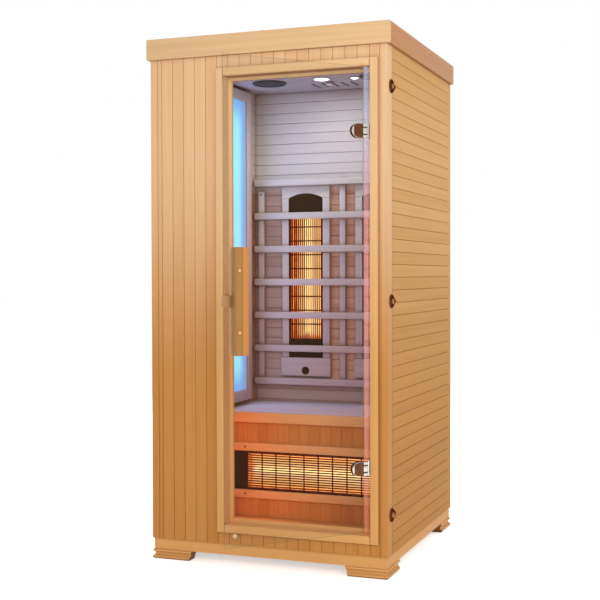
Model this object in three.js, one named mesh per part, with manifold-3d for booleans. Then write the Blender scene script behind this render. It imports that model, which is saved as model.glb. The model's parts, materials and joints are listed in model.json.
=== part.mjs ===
// Infrared sauna cabin for one person, with its glass door standing ajar.
// Millimetres: X to the right, Y to the back, Z up, floor at z = 0, front wall face at y = 0 until centred.
import * as THREE from 'three';
import { mergeVertices } from 'three/addons/utils/BufferGeometryUtils.js';
import Module from 'manifold-3d';

const wasm = await Module();
wasm.setup();

// Cabin shell
const bodyWidth = 900;
const bodyDepth = 915;
const footHeight = 36;
const plinthHeight = 40;
const wallHeight = 1749;
const roofHeight = 75;
const roofOverhang = 12;
const seatGap = 0.3;

// Plinth and floor
const plinthInset = 5;
const plinthWidth = 55;
const floorLedge = 20;
const floorThickness = 18;

// Bracket feet
const footLeg = 152;
const footTaper = 12;
const footThickness = 42;
const footBeadRadius = 4.5;
const footCoveDepth = 5;
const footTorusRadius = 6;

// Boarded walls
const frontThickness = 55;
const backThickness = 46;
const sideThickness = 46;
const boardPitch = 44;
const grooveWidth = 2.8;
const grooveDepth = 2.2;
const stileWidth = 28;
const firstBoardWidth = 16.5;
const cornerChamfer = 3;

// Doorway, casing and stop frame
const doorwayWidth = 546;
const doorwayRightMargin = 61;
const doorwaySillMargin = 72;
const doorwayHeadMargin = 74;
const casingWidth = 29;
const casingThickness = 12;
const casingBevel = 2;
const jambThickness = 14;
const stopWidth = 12;
const stopDepth = 12;

// Roof
const fasciaThickness = 18;
const ceilingThickness = 18;
const roofCoverThickness = 12;
const roofCoverDrop = 8;

// Ceiling fittings, placed from the inner face of the back wall
const speakerRadius = 70;
const speakerNeckRadius = 52;
const speakerDrop = 8;
const speakerRise = 16;
const speakerSideMargin = 175;
const speakerFromBack = 262;
const downlightRadius = 37;
const downlightNeckRadius = 30;
const downlightDrop = 5;
const downlightRise = 10;
const downlightX = 5;
const downlightFromBack = 285;
const readingLightRadius = 20;
const readingLightNeckRadius = 15;
const readingLightDrop = 4;
const readingLightRise = 8;
const readingLightSideMargin = 267;
const readingLightFromBack = 264;

// Sliding ceiling vent
const ventSlots = 5;
const ventPitch = 42;
const ventSlotWidth = 12;
const ventSlotLength = 107;
const ventX = 9;
const ventFromBack = 125;
const ventSliderThickness = 8;
const ventBorder = 20;
const ventTravel = 21;
const ventKnobRadius = 15;
const ventKnobHeight = 14;
const ventStemRadius = 5;
const ventKnobAhead = 18;

// Power box and cable gland on the roof
const powerBoxWidth = 200;
const powerBoxDepth = 170;
const powerBoxHeight = 32;
const powerBoxSideMargin = 140;
const glandRadius = 9;
const glandFlangeRadius = 15;
const glandFlangeThickness = 6;
const glandNoseLength = 12;

// Bench
const seatHeight = 419;
const seatDepth = 421;
const seatThickness = 22;
const seatBoardPitch = 78;
const skirtHeight = 40;
const skirtThickness = 20;
const kickThickness = 14;
const railHeight = 33;
const railThickness = 12;

// Tube heaters
const heaterWidth = 154;
const heaterDepth = 42;
const grilleLength = 540;
const grilleRows = 9;
const grilleColumns = 5;
const wireWidth = 3;
const grilleThickness = 3;
const grilleLedge = 8;
const grilleRecess = 6;
const capLength = 81;
const archRise = 20;
const troughDepth = 30;
const tubeRadius = 9;
const housingWall = 4;
const legHeaterHeight = 186;
const backHeaterSpacing = 331;
const backHeaterHeight = 544;
const backHeaterProud = 15;
const surroundWidth = 215;
const surroundDepth = 17;
const surroundHead = 40;
const terminalBoxWidth = 223;
const terminalBoxHeight = 79;
const terminalBoxProud = 5;
const cableHoleRadius = 17;
const cableHoleDepth = 12;
const cableHoleHeight = 24;

// Backrest
const slatCount = 7;
const slatPitch = 142;
const slatHeight = 28;
const slatThickness = 20;
const slatEndGap = 8;
const lowestSlatHeight = 90;
const battenWidth = 24;
const battenInset = 25;
const sideBattenDrop = 20;

// Colour light on the left wall
const lightWindowWidth = 202;
const lightFrameWidth = 44;
const lightFrameDepth = 26;
const lightFromBack = 103;
const lightBottom = 18;
const lightTopMargin = 10;
const diffuserThickness = 8;
const diffuserRecess = 8;

// Control panel inside the front wall
const panelWidth = 120;
const panelHeight = 90;
const panelThickness = 12;
const panelCorner = 8;
const panelCentreHeight = 1230;

// Glass door
const doorOpenAngle = THREE.MathUtils.degToRad(47.5);
const glassThickness = 8;
const glassHingeGap = 18;
const glassFreeGap = 4.5;
const glassTopGap = 3;
const glassBottomGap = 14;
const hingeJambOffset = 6.5;
const hingeSetOut = 6;
const hingeMargin = 219;
const hingeHeight = 48;
const clampInner = 9;
const clampReach = 66;
const clampPlate = 6;
const barrelRadius = 5.8;
const leafBarrel = 12;
const barrelGap = 0.4;
const leafThickness = 4;
const leafFront = 1;
const leafDepth = 39;
const pinRadius = 2.5;
const pinClearance = 0.3;
const pinHeadRadius = 4;
const pinHead = 2;
const sealThickness = 3;
const sealLip = 4;

// Door handles and catch
const handleLength = 348;
const handleCentreHeight = 881;
const handleEdgeMargin = 29;
const handleBase = 54;
const handleFace = 25;
const handleProud = 28;
const handleHeel = 10;
const innerHandleWidth = 35;
const innerHandleProud = 22;
const innerHandleChamfer = 6;
const strikeWidth = 28;
const strikeHeight = 38;
const strikePlate = 3;
const strikeCap = 2;
const magnetWidth = 12;
const magnetDepth = 18;
const magnetHeight = 30;
const catchGap = 0.5;

// Turn latches that hold the front wall to the side walls
const latchMargin = 140;
const latchPivotY = 42;
const latchRadius = 23;
const latchTabReach = 28;
const latchTabRadius = 8;
const latchThickness = 5;
const latchBossRadius = 10;
const latchBossHeight = 6;

// Levels and faces that pieces share
const halfWidth = bodyWidth / 2;
const wallBottom = footHeight + plinthHeight;
const wallTop = wallBottom + wallHeight;
const roofTop = wallTop + roofHeight;
const innerHalf = halfWidth - sideThickness;
const innerBack = bodyDepth - backThickness;
const ceilingTop = wallTop + ceilingThickness;
const seatTop = wallBottom + seatHeight;
const seatFront = innerBack - seatDepth;
const kickFront = seatFront + skirtThickness;
const doorwayRight = halfWidth - doorwayRightMargin;
const doorwayLeft = doorwayRight - doorwayWidth;
const doorwaySill = wallBottom + doorwaySillMargin;
const doorwayHead = wallTop - doorwayHeadMargin;
const hingeX = doorwayRight - hingeJambOffset;
const hingeY = -hingeSetOut;
const glassBottom = doorwaySill + glassBottomGap;
const glassTop = doorwayHead - glassTopGap;
const glassFree = hingeX - doorwayLeft - glassFreeGap;
const latchHeights = {
  bottom: wallBottom + latchMargin,
  middle: (wallBottom + wallTop) / 2,
  top: wallTop - latchMargin,
};
const hingeHeights = { lower: glassBottom + hingeMargin, upper: glassTop - hingeMargin };
const catchHeight = wallBottom + handleCentreHeight;

// Axis turns: an outline is drawn as (x, y) for 'z', (y, z) for 'x' and (z, x) for 'y'
const X = new THREE.Vector3(1, 0, 0);
const Y = new THREE.Vector3(0, 1, 0);
const Z = new THREE.Vector3(0, 0, 1);
const turns = {
  x: new THREE.Matrix4().makeBasis(Y, Z, X),
  y: new THREE.Matrix4().makeBasis(Z, X, Y),
  z: new THREE.Matrix4(),
};

function outline(points) {
  return new THREE.Shape(points.map(([a, b]) => new THREE.Vector2(a, b)));
}

function rectangle(low, high) {
  return outline([low, [high[0], low[1]], high, [low[0], high[1]]]);
}

// Carries an outline along an axis from one place to another
function extrude(axis, shape, from, to, curveSegments = 12) {
  const geometry = new THREE.ExtrudeGeometry(shape, { depth: to - from, bevelEnabled: false, curveSegments });
  geometry.translate(0, 0, from);
  return geometry.applyMatrix4(turns[axis]);
}

function box(low, high) {
  const size = high.map((value, i) => value - low[i]);
  const middle = high.map((value, i) => (value + low[i]) / 2);
  return new THREE.BoxGeometry(...size).translate(...middle);
}

// Turns a profile of [radius, height] points round an axis
function turned(axis, points, segments) {
  const profile = points.map(([radius, height]) => new THREE.Vector2(radius, height));
  const geometry = new THREE.LatheGeometry(profile, segments);
  if (axis === 'z') geometry.rotateX(Math.PI / 2);
  if (axis === 'x') geometry.rotateZ(-Math.PI / 2);
  return geometry;
}

function rod(axis, radius, from, to, segments = 14) {
  return turned(axis, [[0, from], [radius, from], [radius, to], [0, to]], segments);
}

function solidOf(geometry) {
  const bare = geometry.clone();
  bare.deleteAttribute('normal');
  bare.deleteAttribute('uv');
  const merged = mergeVertices(bare, 1e-4);
  const index = merged.index.array;
  const triangles = [];
  for (let i = 0; i < index.length; i += 3) {
    const [a, b, c] = [index[i], index[i + 1], index[i + 2]];
    if (a !== b && b !== c && c !== a) triangles.push(a, b, c);
  }
  return new wasm.Manifold(new wasm.Mesh({
    numProp: 3,
    vertProperties: new Float32Array(merged.attributes.position.array),
    triVerts: new Uint32Array(triangles),
  }));
}

function geometryOf(solid) {
  const mesh = solid.getMesh();
  const geometry = new THREE.BufferGeometry();
  geometry.setAttribute('position', new THREE.BufferAttribute(new Float32Array(mesh.vertProperties), 3));
  geometry.setIndex(new THREE.BufferAttribute(new Uint32Array(mesh.triVerts), 1));
  geometry.computeVertexNormals();
  return geometry;
}

function join(...pieces) {
  return geometryOf(pieces.map(solidOf).reduce((whole, piece) => whole.add(piece)));
}

function cut(piece, ...tools) {
  return geometryOf(tools.map(solidOf).reduce((whole, tool) => whole.subtract(tool), solidOf(piece)));
}

const finishes = {
  wood: { color: 0xdcb283, roughness: 0.6, metalness: 0 },
  innerWood: { color: 0xd2c0ab, roughness: 0.65, metalness: 0 },
  black: { color: 0x26221f, roughness: 0.55, metalness: 0.2 },
  wire: { color: 0x3a2a20, roughness: 0.5, metalness: 0.6 },
  glow: { color: 0xff9a3c, roughness: 0.4, metalness: 0 },
  glass: { color: 0xdfe9ea, roughness: 0.05, metalness: 0 },
  chrome: { color: 0xd8d8d8, roughness: 0.12, metalness: 1 },
  bronze: { color: 0x5a3a22, roughness: 0.4, metalness: 0.8 },
  light: { color: 0xf4f8ff, roughness: 0.4, metalness: 0 },
  blueLight: { color: 0x6fb7ff, roughness: 0.4, metalness: 0 },
  plastic: { color: 0xd9d9d6, roughness: 0.5, metalness: 0 },
};

const cabin = new THREE.Group();
const door = new THREE.Group();
door.position.set(hingeX, hingeY, 0);
door.rotation.z = doorOpenAngle;
cabin.add(door);

function place(name, finish, geometry, parent = cabin) {
  const mesh = new THREE.Mesh(geometry, new THREE.MeshStandardMaterial(finishes[finish]));
  mesh.name = name;
  parent.add(mesh);
  return mesh;
}

// Outline of a boarded slab, 0 to length by 0 to thickness, with V grooves on its two faces
function boardedOutline(length, thickness, grooves, backGrooves = grooves) {
  const isInside = (middle) => middle > grooveWidth && middle < length - grooveWidth;
  const front = grooves.filter(isInside).flatMap((middle) => [
    [middle - grooveWidth / 2, 0],
    [middle, grooveDepth],
    [middle + grooveWidth / 2, 0],
  ]);
  const back = backGrooves.filter(isInside).toReversed().flatMap((middle) => [
    [middle + grooveWidth / 2, thickness],
    [middle, thickness - grooveDepth],
    [middle - grooveWidth / 2, thickness],
  ]);
  return [[0, 0], ...front, [length, 0], [length, thickness], ...back, [0, thickness]];
}

// Board joints every pitch from a first joint, up to an end
function joints(first, pitch, end) {
  const count = Math.max(0, Math.floor((end - first) / pitch) + 1);
  return Array.from({ length: count }, (_, i) => first + i * pitch);
}

// Plinth: four rails as one frame, with a ledge inside that carries the floor
function plinth() {
  const outer = [[-halfWidth + plinthInset, plinthInset], [halfWidth - plinthInset, bodyDepth - plinthInset]];
  const inset = ([low, high], by) => [[low[0] + by, low[1] + by], [high[0] - by, high[1] - by]];
  const opening = inset(outer, plinthWidth);
  const well = inset(opening, floorLedge);
  const floorBottom = wallBottom - floorThickness;
  const slab = (area, from, to) => box([...area[0], from], [...area[1], to]);
  place('base_frame', 'wood', cut(
    slab(outer, footHeight, wallBottom),
    slab(opening, floorBottom - seatGap, wallBottom + 1),
    slab(well, footHeight - 1, floorBottom),
  ));
  place('floor_panel', 'wood', slab(inset(opening, seatGap), floorBottom, wallBottom));
}

// Foot section as [outward, height] points: bead, cove and torus down the outer face, flat inside
function footSection() {
  const height = footHeight - seatGap;
  const torusTop = 2 * footTorusRadius + 1;
  const beadBottom = height - 2 * footBeadRadius - 1;
  const face = new THREE.Path();
  face.moveTo(0, 0);
  face.lineTo(0, 1);
  face.absarc(0, 1 + footTorusRadius, footTorusRadius, -Math.PI / 2, Math.PI / 2);
  face.quadraticCurveTo(-footCoveDepth, (torusTop + beadBottom) / 2, 0, beadBottom);
  face.absarc(0, beadBottom + footBeadRadius, footBeadRadius, -Math.PI / 2, Math.PI / 2);
  face.lineTo(0, height);
  const outer = face.getPoints(4).map((point) => [point.x, point.y]);
  const distinct = outer.filter((point, i) => i === 0
    || Math.hypot(point[0] - outer[i - 1][0], point[1] - outer[i - 1][1]) > 1e-3);
  return [...distinct, [-footThickness, height], [-footThickness, 0]];
}

// Bracket foot: the section runs along two legs that meet in a mitre at the corner, with slanted ends
function footGeometry() {
  const section = footSection();
  const height = footHeight - seatGap;
  const end = (z) => footLeg - footTaper * (1 - z / height);
  const rings = [
    section.map(([out, z]) => [end(z), -out, z]),
    section.map(([out, z]) => [-out, -out, z]),
    section.map(([out, z]) => [-out, end(z), z]),
  ];
  const count = section.length;
  const cap = THREE.ShapeUtils.triangulateShape(section.map(([a, b]) => new THREE.Vector2(a, b)), []);
  const faces = cap.map(([a, b, c]) => [a, c, b]);
  for (const ring of [0, 1]) {
    for (let i = 0; i < count; i += 1) {
      const next = (i + 1) % count;
      const [a, b] = [ring * count + i, ring * count + next];
      faces.push([a, b, b + count], [a, b + count, a + count]);
    }
  }
  faces.push(...cap.map((corners) => corners.map((corner) => corner + 2 * count)));
  const geometry = new THREE.BufferGeometry();
  geometry.setAttribute('position', new THREE.Float32BufferAttribute(rings.flat(2), 3));
  geometry.setIndex(faces.flat());
  geometry.computeVertexNormals();
  return geometry;
}

function feet() {
  const x = halfWidth - plinthInset;
  const corners = {
    foot_front_left: [-x, plinthInset, 0],
    foot_front_right: [x, plinthInset, 1],
    foot_rear_right: [x, bodyDepth - plinthInset, 2],
    foot_rear_left: [-x, bodyDepth - plinthInset, 3],
  };
  for (const [name, [cornerX, cornerY, quarters]] of Object.entries(corners)) {
    const foot = place(name, 'wood', footGeometry());
    foot.position.set(cornerX, cornerY, 0);
    foot.rotation.z = quarters * Math.PI / 2;
  }
}

// Walls: upright boards in front, level boards on the sides and back, counted from the top
function walls() {
  const bottom = wallBottom + seatGap;
  const top = wallTop - seatGap;
  const stileEdges = [stileWidth, bodyWidth - stileWidth];
  const uprights = joints(stileWidth + firstBoardWidth, boardPitch, stileEdges[1] - grooveWidth);
  const frontJoints = [stileEdges[0], ...uprights, stileEdges[1]];
  const chamfered = boardedOutline(bodyWidth, frontThickness, frontJoints).flatMap(([x, y]) => {
    if (y < frontThickness || (x > 0 && x < bodyWidth)) return [[x, y]];
    const slope = [[0, y - cornerChamfer], [cornerChamfer, y]];
    return x > 0 ? slope.map(([by, to]) => [x - by, to]) : slope.toReversed();
  });
  const front = chamfered.map(([x, y]) => [x - halfWidth, y]);
  const roughOpening = box(
    [doorwayLeft - jambThickness, -1, doorwaySill - jambThickness],
    [doorwayRight + jambThickness, frontThickness + 1, doorwayHead + jambThickness],
  );
  place('front_wall', 'wood', cut(extrude('z', outline(front), bottom, top), roughOpening));

  const levels = joints(boardPitch, boardPitch, top - bottom);
  const sideFrom = frontThickness + seatGap;
  const sideTo = innerBack - seatGap;
  for (const [name, side] of [['left_wall', -1], ['right_wall', 1]]) {
    const middle = side * (halfWidth - sideThickness / 2);
    const section = boardedOutline(top - bottom, sideThickness, levels)
      .map(([down, across]) => [top - down, middle + across - sideThickness / 2]);
    place(name, 'wood', extrude('y', outline(section), sideFrom, sideTo));
  }

  const section = boardedOutline(top - bottom, backThickness, levels)
    .map(([down, deep]) => [innerBack + deep, top - down]);
  const boards = extrude('x', outline(section), stileWidth - halfWidth - 1, halfWidth - stileWidth + 1);
  const stile = (from) => box([from, innerBack, bottom], [from + stileWidth, bodyDepth, top]);
  const panel = join(boards, stile(-halfWidth), stile(halfWidth - stileWidth));
  const pocketEnd = innerBack - backHeaterProud + heaterDepth + seatGap;
  const pockets = [-1, 1].map((side) => (
    extrude('y', heaterFace(archRise, seatGap), innerBack - 1, pocketEnd, 10)
      .translate(side * backHeaterSpacing / 2, 0, seatTop + backHeaterHeight)));
  place('back_wall', 'wood', cut(panel, ...pockets));
}

// Door surround: a casing on the front face and a jamb frame with a stop at its inner edge
function doorSurround() {
  const low = [doorwayLeft, doorwaySill];
  const high = [doorwayRight, doorwayHead];
  const bevel = { bevelSize: casingBevel, bevelThickness: casingBevel, bevelSegments: 1 };
  const rim = casingWidth - casingBevel;
  const ring = rectangle([low[0] - rim, low[1] - rim], [high[0] + rim, high[1] + rim]);
  const innerLow = low.map((value) => value - casingBevel);
  const innerHigh = high.map((value) => value + casingBevel);
  ring.holes.push(rectangle(innerLow, innerHigh));
  const depth = casingThickness - seatGap - 2 * casingBevel;
  const casing = new THREE.ExtrudeGeometry(ring, { depth, ...bevel });
  casing.rotateX(Math.PI / 2);
  casing.translate(0, -seatGap - casingBevel, 0);
  place('door_casing', 'wood', casing);

  const lining = jambThickness - seatGap;
  const back = frontThickness;
  const opening = (by, from, to) => box([low[0] + by, from, low[1] + by], [high[0] - by, to, high[1] - by]);
  place('door_stop', 'wood', cut(
    opening(-lining, 0, back),
    opening(0, -1, back - stopDepth),
    opening(stopWidth, -1, back + 1),
  ));
}

function roof() {
  const outer = [
    [-halfWidth - roofOverhang, -roofOverhang],
    [halfWidth + roofOverhang, bodyDepth + roofOverhang],
  ];
  const inset = (by) => [[outer[0][0] + by, outer[0][1] + by], [outer[1][0] - by, outer[1][1] - by]];
  const panel = inset(fasciaThickness + seatGap);
  const gland = glandPlace();
  const fascia = rectangle(...outer);
  fascia.holes.push(rectangle(...inset(fasciaThickness)));
  const hole = rod('y', glandRadius + seatGap, gland.inside - 1, gland.outside + 1);
  hole.translate(gland.x, 0, gland.z);
  place('roof_fascia', 'wood', cut(extrude('z', fascia, wallTop, roofTop), hole));

  const slab = (from, to) => extrude('z', rectangle(...panel), from, to);
  const through = [wallTop - 1, ceilingTop + 1];
  const necks = Object.values(fittings).map(({ x, y, neck }) => (
    rod('z', neck + seatGap, ...through, 18).translate(x, y, 0)));
  const ceilingTools = [...necks, ...ventTools(...through), extrude('z', knobSlot(), ...through, 8)];
  place('ceiling_panel', 'innerWood', cut(slab(wallTop, ceilingTop), ...ceilingTools));
  const coverTop = roofTop - roofCoverDrop;
  const coverBottom = coverTop - roofCoverThickness;
  place('roof_cover', 'wood', cut(slab(coverBottom, coverTop), ...ventTools(coverBottom - 1, coverTop + 1)));
}

// Round fitting in the ceiling: a shallow dome below, a neck through the hole and a body above
function fitting(finish, x, fromBack, radius, neck, drop, rise) {
  const top = ceilingThickness + rise;
  const profile = [
    [0, -drop], [0.55 * radius, -0.94 * drop], [0.85 * radius, -0.66 * drop], [radius, -0.3 * drop],
    [radius, -seatGap], [neck, -seatGap], [neck, ceilingThickness], [0.8 * neck, top], [0, top],
  ];
  return { finish, x, y: innerBack - fromBack, neck, profile };
}

const speakerShape = [speakerFromBack, speakerRadius, speakerNeckRadius, speakerDrop, speakerRise];
const fittings = {
  speaker_left: fitting('black', speakerSideMargin - innerHalf, ...speakerShape),
  speaker_right: fitting('black', innerHalf - speakerSideMargin, ...speakerShape),
  downlight: fitting(
    'light', downlightX, downlightFromBack, downlightRadius,
    downlightNeckRadius, downlightDrop, downlightRise,
  ),
  reading_light: fitting(
    'light', innerHalf - readingLightSideMargin, readingLightFromBack, readingLightRadius,
    readingLightNeckRadius, readingLightDrop, readingLightRise,
  ),
};

function ceilingFittings() {
  for (const [name, { finish, x, y, profile }] of Object.entries(fittings)) {
    place(name, finish, turned('z', profile, 18).translate(x, y, wallTop));
  }
}

// Vent: a row of slots through the ceiling, opened and shut by a slotted slider above it
const ventMiddleY = innerBack - ventFromBack;
const ventKnobY = ventMiddleY - ventSlotLength / 2 - ventKnobAhead;

function ventTools(from, to) {
  const half = [ventSlotWidth / 2, ventSlotLength / 2];
  return Array.from({ length: ventSlots }, (_, i) => {
    const x = ventX + (i - (ventSlots - 1) / 2) * ventPitch;
    return box([x - half[0], ventMiddleY - half[1], from], [x + half[0], ventMiddleY + half[1], to]);
  });
}

function knobSlot() {
  const radius = ventStemRadius + 2 * seatGap;
  const slot = new THREE.Shape();
  slot.absarc(ventX, ventKnobY, radius, Math.PI / 2, 3 * Math.PI / 2);
  slot.absarc(ventX + ventTravel, ventKnobY, radius, -Math.PI / 2, Math.PI / 2);
  return slot;
}

function vent() {
  const halfRow = (ventSlots * ventPitch) / 2;
  const bottom = ceilingTop + seatGap;
  const top = bottom + ventSliderThickness;
  const slab = box(
    [ventX - halfRow, ventKnobY - ventBorder, bottom],
    [ventX + halfRow, ventMiddleY + ventSlotLength / 2 + ventBorder, top],
  );
  const board = cut(slab, ...ventTools(bottom - 1, top + 1));
  const knobTop = wallTop - seatGap;
  const knob = turned('z', [
    [0, knobTop - ventKnobHeight], [0.7 * ventKnobRadius, knobTop - ventKnobHeight],
    [ventKnobRadius, knobTop - 0.6 * ventKnobHeight], [0.8 * ventKnobRadius, knobTop],
    [ventStemRadius, knobTop], [ventStemRadius, bottom + 1], [0, bottom + 1],
  ], 20).translate(ventX, ventKnobY, 0);
  place('vent_slider', 'innerWood', join(board, knob));
}

function glandPlace() {
  const x = halfWidth - powerBoxSideMargin;
  const outside = bodyDepth + roofOverhang;
  const inside = outside - fasciaThickness;
  return { x, z: ceilingTop + seatGap + powerBoxHeight / 2, inside, outside };
}

function powerSupply() {
  const gland = glandPlace();
  const bottom = ceilingTop + seatGap;
  const back = gland.inside - seatGap;
  place('power_box', 'black', box(
    [gland.x - powerBoxWidth / 2, back - powerBoxDepth, bottom],
    [gland.x + powerBoxWidth / 2, back, bottom + powerBoxHeight],
  ));
  const flange = gland.outside + seatGap;
  const nose = flange + glandFlangeThickness;
  place('cable_gland', 'black', turned('y', [
    [0, gland.inside], [glandRadius, gland.inside], [glandRadius, flange], [glandFlangeRadius, flange],
    [glandFlangeRadius, nose], [glandRadius, nose + glandNoseLength], [0, nose + glandNoseLength],
  ], 12).translate(gland.x, 0, gland.z));
}

function bench() {
  const half = innerHalf - seatGap;
  const kickBack = kickFront + kickThickness;
  const seatBottom = seatTop - seatThickness;
  const seatFrom = kickFront + seatGap;
  const seatLength = innerBack - seatGap - seatFrom;
  const seatJoints = joints(seatBoardPitch, seatBoardPitch, seatLength);
  const boards = boardedOutline(seatLength, seatThickness, seatJoints, [])
    .map(([along, down]) => [seatFrom + along, seatTop - down]);
  place('bench_seat', 'innerWood', extrude('x', outline(boards), -half, half));
  place('bench_skirt', 'wood', box([-half, seatFront, seatTop - skirtHeight], [half, kickFront, seatTop]));

  const planks = boardedOutline(2 * half, kickThickness, joints(boardPitch, boardPitch, 2 * half), [])
    .map(([x, deep]) => [x - half, kickFront + seatGap + deep]);
  const middle = wallBottom + legHeaterHeight;
  const heaterHalf = heaterWidth / 2 + seatGap;
  const lengthHalf = grilleLength / 2 + capLength + seatGap;
  place('kick_panel', 'wood', cut(
    extrude('z', outline(planks), wallBottom + seatGap, seatBottom - seatGap),
    box([-lengthHalf, kickFront - 1, middle - heaterHalf], [lengthHalf, kickBack + 2, middle + heaterHalf]),
  ));
  const railBack = kickFront - seatGap / 2;
  const rail = (from) => box([-half, railBack - railThickness, from], [half, railBack, from + railHeight]);
  place('kick_rail_upper', 'innerWood', rail(middle + heaterHalf + seatGap));
  place('kick_rail_lower', 'innerWood', rail(middle - heaterHalf - seatGap - railHeight));
}

// Front outline of a heater housing, square or arched at the top, with a margin all round
function heaterFace(rise, margin) {
  const half = heaterWidth / 2 + margin;
  const end = grilleLength / 2 + capLength + margin;
  const face = new THREE.Shape();
  face.moveTo(-end, -half);
  face.lineTo(-end, half);
  face.lineTo(end - rise, half);
  if (rise > 0) {
    const radius = (half * half + rise * rise) / (2 * rise);
    const spread = Math.asin(half / radius);
    face.absarc(end - radius, 0, radius, spread, -spread, true);
  } else {
    face.lineTo(end, -half);
  }
  return face;
}

// Tube heater, upright and centred on its grille: back at y = 0, front at y = -heaterDepth
function heater(name, rise, parent) {
  const half = heaterWidth / 2;
  const grilleHalf = grilleLength / 2;
  const windowHalf = half - housingWall;
  const ledge = grilleRecess - heaterDepth;
  const trough = new THREE.Shape();
  trough.absellipse(0, ledge - 1, windowHalf - grilleLedge, troughDepth + 1, 0, Math.PI);
  place(`${name}_housing`, 'black', cut(
    extrude('y', heaterFace(rise, 0), -heaterDepth, 0, 10),
    box([-windowHalf, -heaterDepth - 1, -grilleHalf], [windowHalf, ledge, grilleHalf]),
    extrude('z', trough, -grilleHalf, grilleHalf, 10),
  ), parent);

  const tubeHalf = grilleHalf - seatGap;
  const tube = rod('z', tubeRadius, -tubeHalf, tubeHalf, 14);
  place(`${name}_element`, 'glow', tube.translate(0, ledge + troughDepth / 2, 0), parent);

  const [halfX, halfZ] = [windowHalf - seatGap, grilleHalf - seatGap];
  const grilleBack = ledge - seatGap;
  const wire = (x0, x1, z0, z1) => box([x0, grilleBack - grilleThickness, z0], [x1, grilleBack, z1]);
  const spread = (count, half) => Array.from({ length: count + 1 }, (_, i) => (
    -half + i * (2 * half - wireWidth) / count));
  const uprights = spread(grilleColumns, halfX).map((x) => wire(x, x + wireWidth, -halfZ, halfZ));
  const crossings = spread(grilleRows, halfZ).map((z) => wire(-halfX, halfX, z, z + wireWidth));
  place(`${name}_grille`, 'wire', join(...uprights, ...crossings), parent);
}

// Wooden surround of a back heater: a board with an arched opening, on a terminal box with a cable hole
function heaterSurround(name, parent) {
  const half = surroundWidth / 2;
  const wallFace = backHeaterProud - heaterDepth - seatGap;
  const front = wallFace - surroundDepth;
  const end = grilleLength / 2 + capLength;
  const boxTop = -end - seatGap;
  const boxBottom = boxTop - terminalBoxHeight;
  const board = rectangle([boxBottom + 1, -half], [end + surroundHead, half]);
  board.holes.push(heaterFace(archRise, seatGap));
  const terminalHalf = terminalBoxWidth / 2;
  const terminalFront = front - terminalBoxProud;
  const frame = join(
    extrude('y', board, front, wallFace, 10),
    box([-terminalHalf, terminalFront, boxBottom], [terminalHalf, wallFace, boxTop]),
  );
  const hole = rod('y', cableHoleRadius, terminalFront - 1, terminalFront + cableHoleDepth, 20);
  hole.translate(0, 0, boxBottom + cableHoleHeight);
  place(`${name}_surround`, 'innerWood', cut(frame, hole), parent);
}

function heaters() {
  for (const [name, side] of [['back_heater_left', -1], ['back_heater_right', 1]]) {
    const upright = new THREE.Group();
    const back = innerBack - backHeaterProud + heaterDepth;
    upright.position.set(side * backHeaterSpacing / 2, back, seatTop + backHeaterHeight);
    heater(name, archRise, upright);
    heaterSurround(name, upright);
    cabin.add(upright);
  }
  const level = new THREE.Group();
  level.position.set(0, kickFront + heaterDepth - grilleRecess, wallBottom + legHeaterHeight);
  level.rotation.y = Math.PI / 2;
  heater('leg_heater', 0, level);
  cabin.add(level);
}

// Backrest: level slats on three upright battens, of which the side ones stop short of the top slat
function backrest() {
  const half = innerHalf - slatEndGap;
  const slatBack = innerBack - surroundDepth - 2 * seatGap;
  const slatFront = slatBack - slatThickness;
  const lowest = seatTop + lowestSlatHeight - slatHeight / 2;
  const highest = lowest + (slatCount - 1) * slatPitch;
  const slats = Array.from({ length: slatCount }, (_, i) => {
    const bottom = lowest + i * slatPitch;
    return box([-half, slatFront, bottom], [half, slatBack, bottom + slatHeight]);
  });
  const batten = (x, top) => box(
    [x - battenWidth / 2, slatBack - 1, lowest],
    [x + battenWidth / 2, innerBack - seatGap, top],
  );
  const sideX = half - battenInset;
  const sideTop = highest - sideBattenDrop;
  const battens = [batten(-sideX, sideTop), batten(0, highest + slatHeight), batten(sideX, sideTop)];
  place('backrest', 'innerWood', join(...slats, ...battens));
}

function colourLight() {
  const wallFace = -innerHalf + seatGap;
  const faceX = wallFace + lightFrameDepth;
  const outerBack = innerBack - lightFromBack;
  const outerFront = outerBack - lightWindowWidth - 2 * lightFrameWidth;
  const bottom = seatTop + lightBottom;
  const top = wallTop - lightTopMargin;
  const frame = rectangle([outerFront, bottom], [outerBack, top]);
  const window = (by) => rectangle(
    [outerFront + lightFrameWidth + by, bottom + lightFrameWidth + by],
    [outerBack - lightFrameWidth - by, top - lightFrameWidth - by],
  );
  frame.holes.push(window(0));
  place('light_frame', 'innerWood', extrude('x', frame, wallFace, faceX));
  const lens = faceX - diffuserRecess;
  place('light_diffuser', 'blueLight', extrude('x', window(seatGap), lens - diffuserThickness, lens));
}

function controlPanel() {
  const x = (doorwayLeft - jambThickness - innerHalf) / 2;
  const z = wallBottom + panelCentreHeight;
  const half = [panelHeight / 2 - panelCorner, panelWidth / 2 - panelCorner];
  const face = new THREE.Shape();
  face.absarc(z + half[0], x + half[1], panelCorner, 0, Math.PI / 2);
  face.absarc(z - half[0], x + half[1], panelCorner, Math.PI / 2, Math.PI);
  face.absarc(z - half[0], x - half[1], panelCorner, Math.PI, 3 * Math.PI / 2);
  face.absarc(z + half[0], x - half[1], panelCorner, 3 * Math.PI / 2, 2 * Math.PI);
  const wallFace = frontThickness + seatGap;
  place('control_panel', 'plastic', extrude('y', face, wallFace, wallFace + panelThickness, 4));
}

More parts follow.
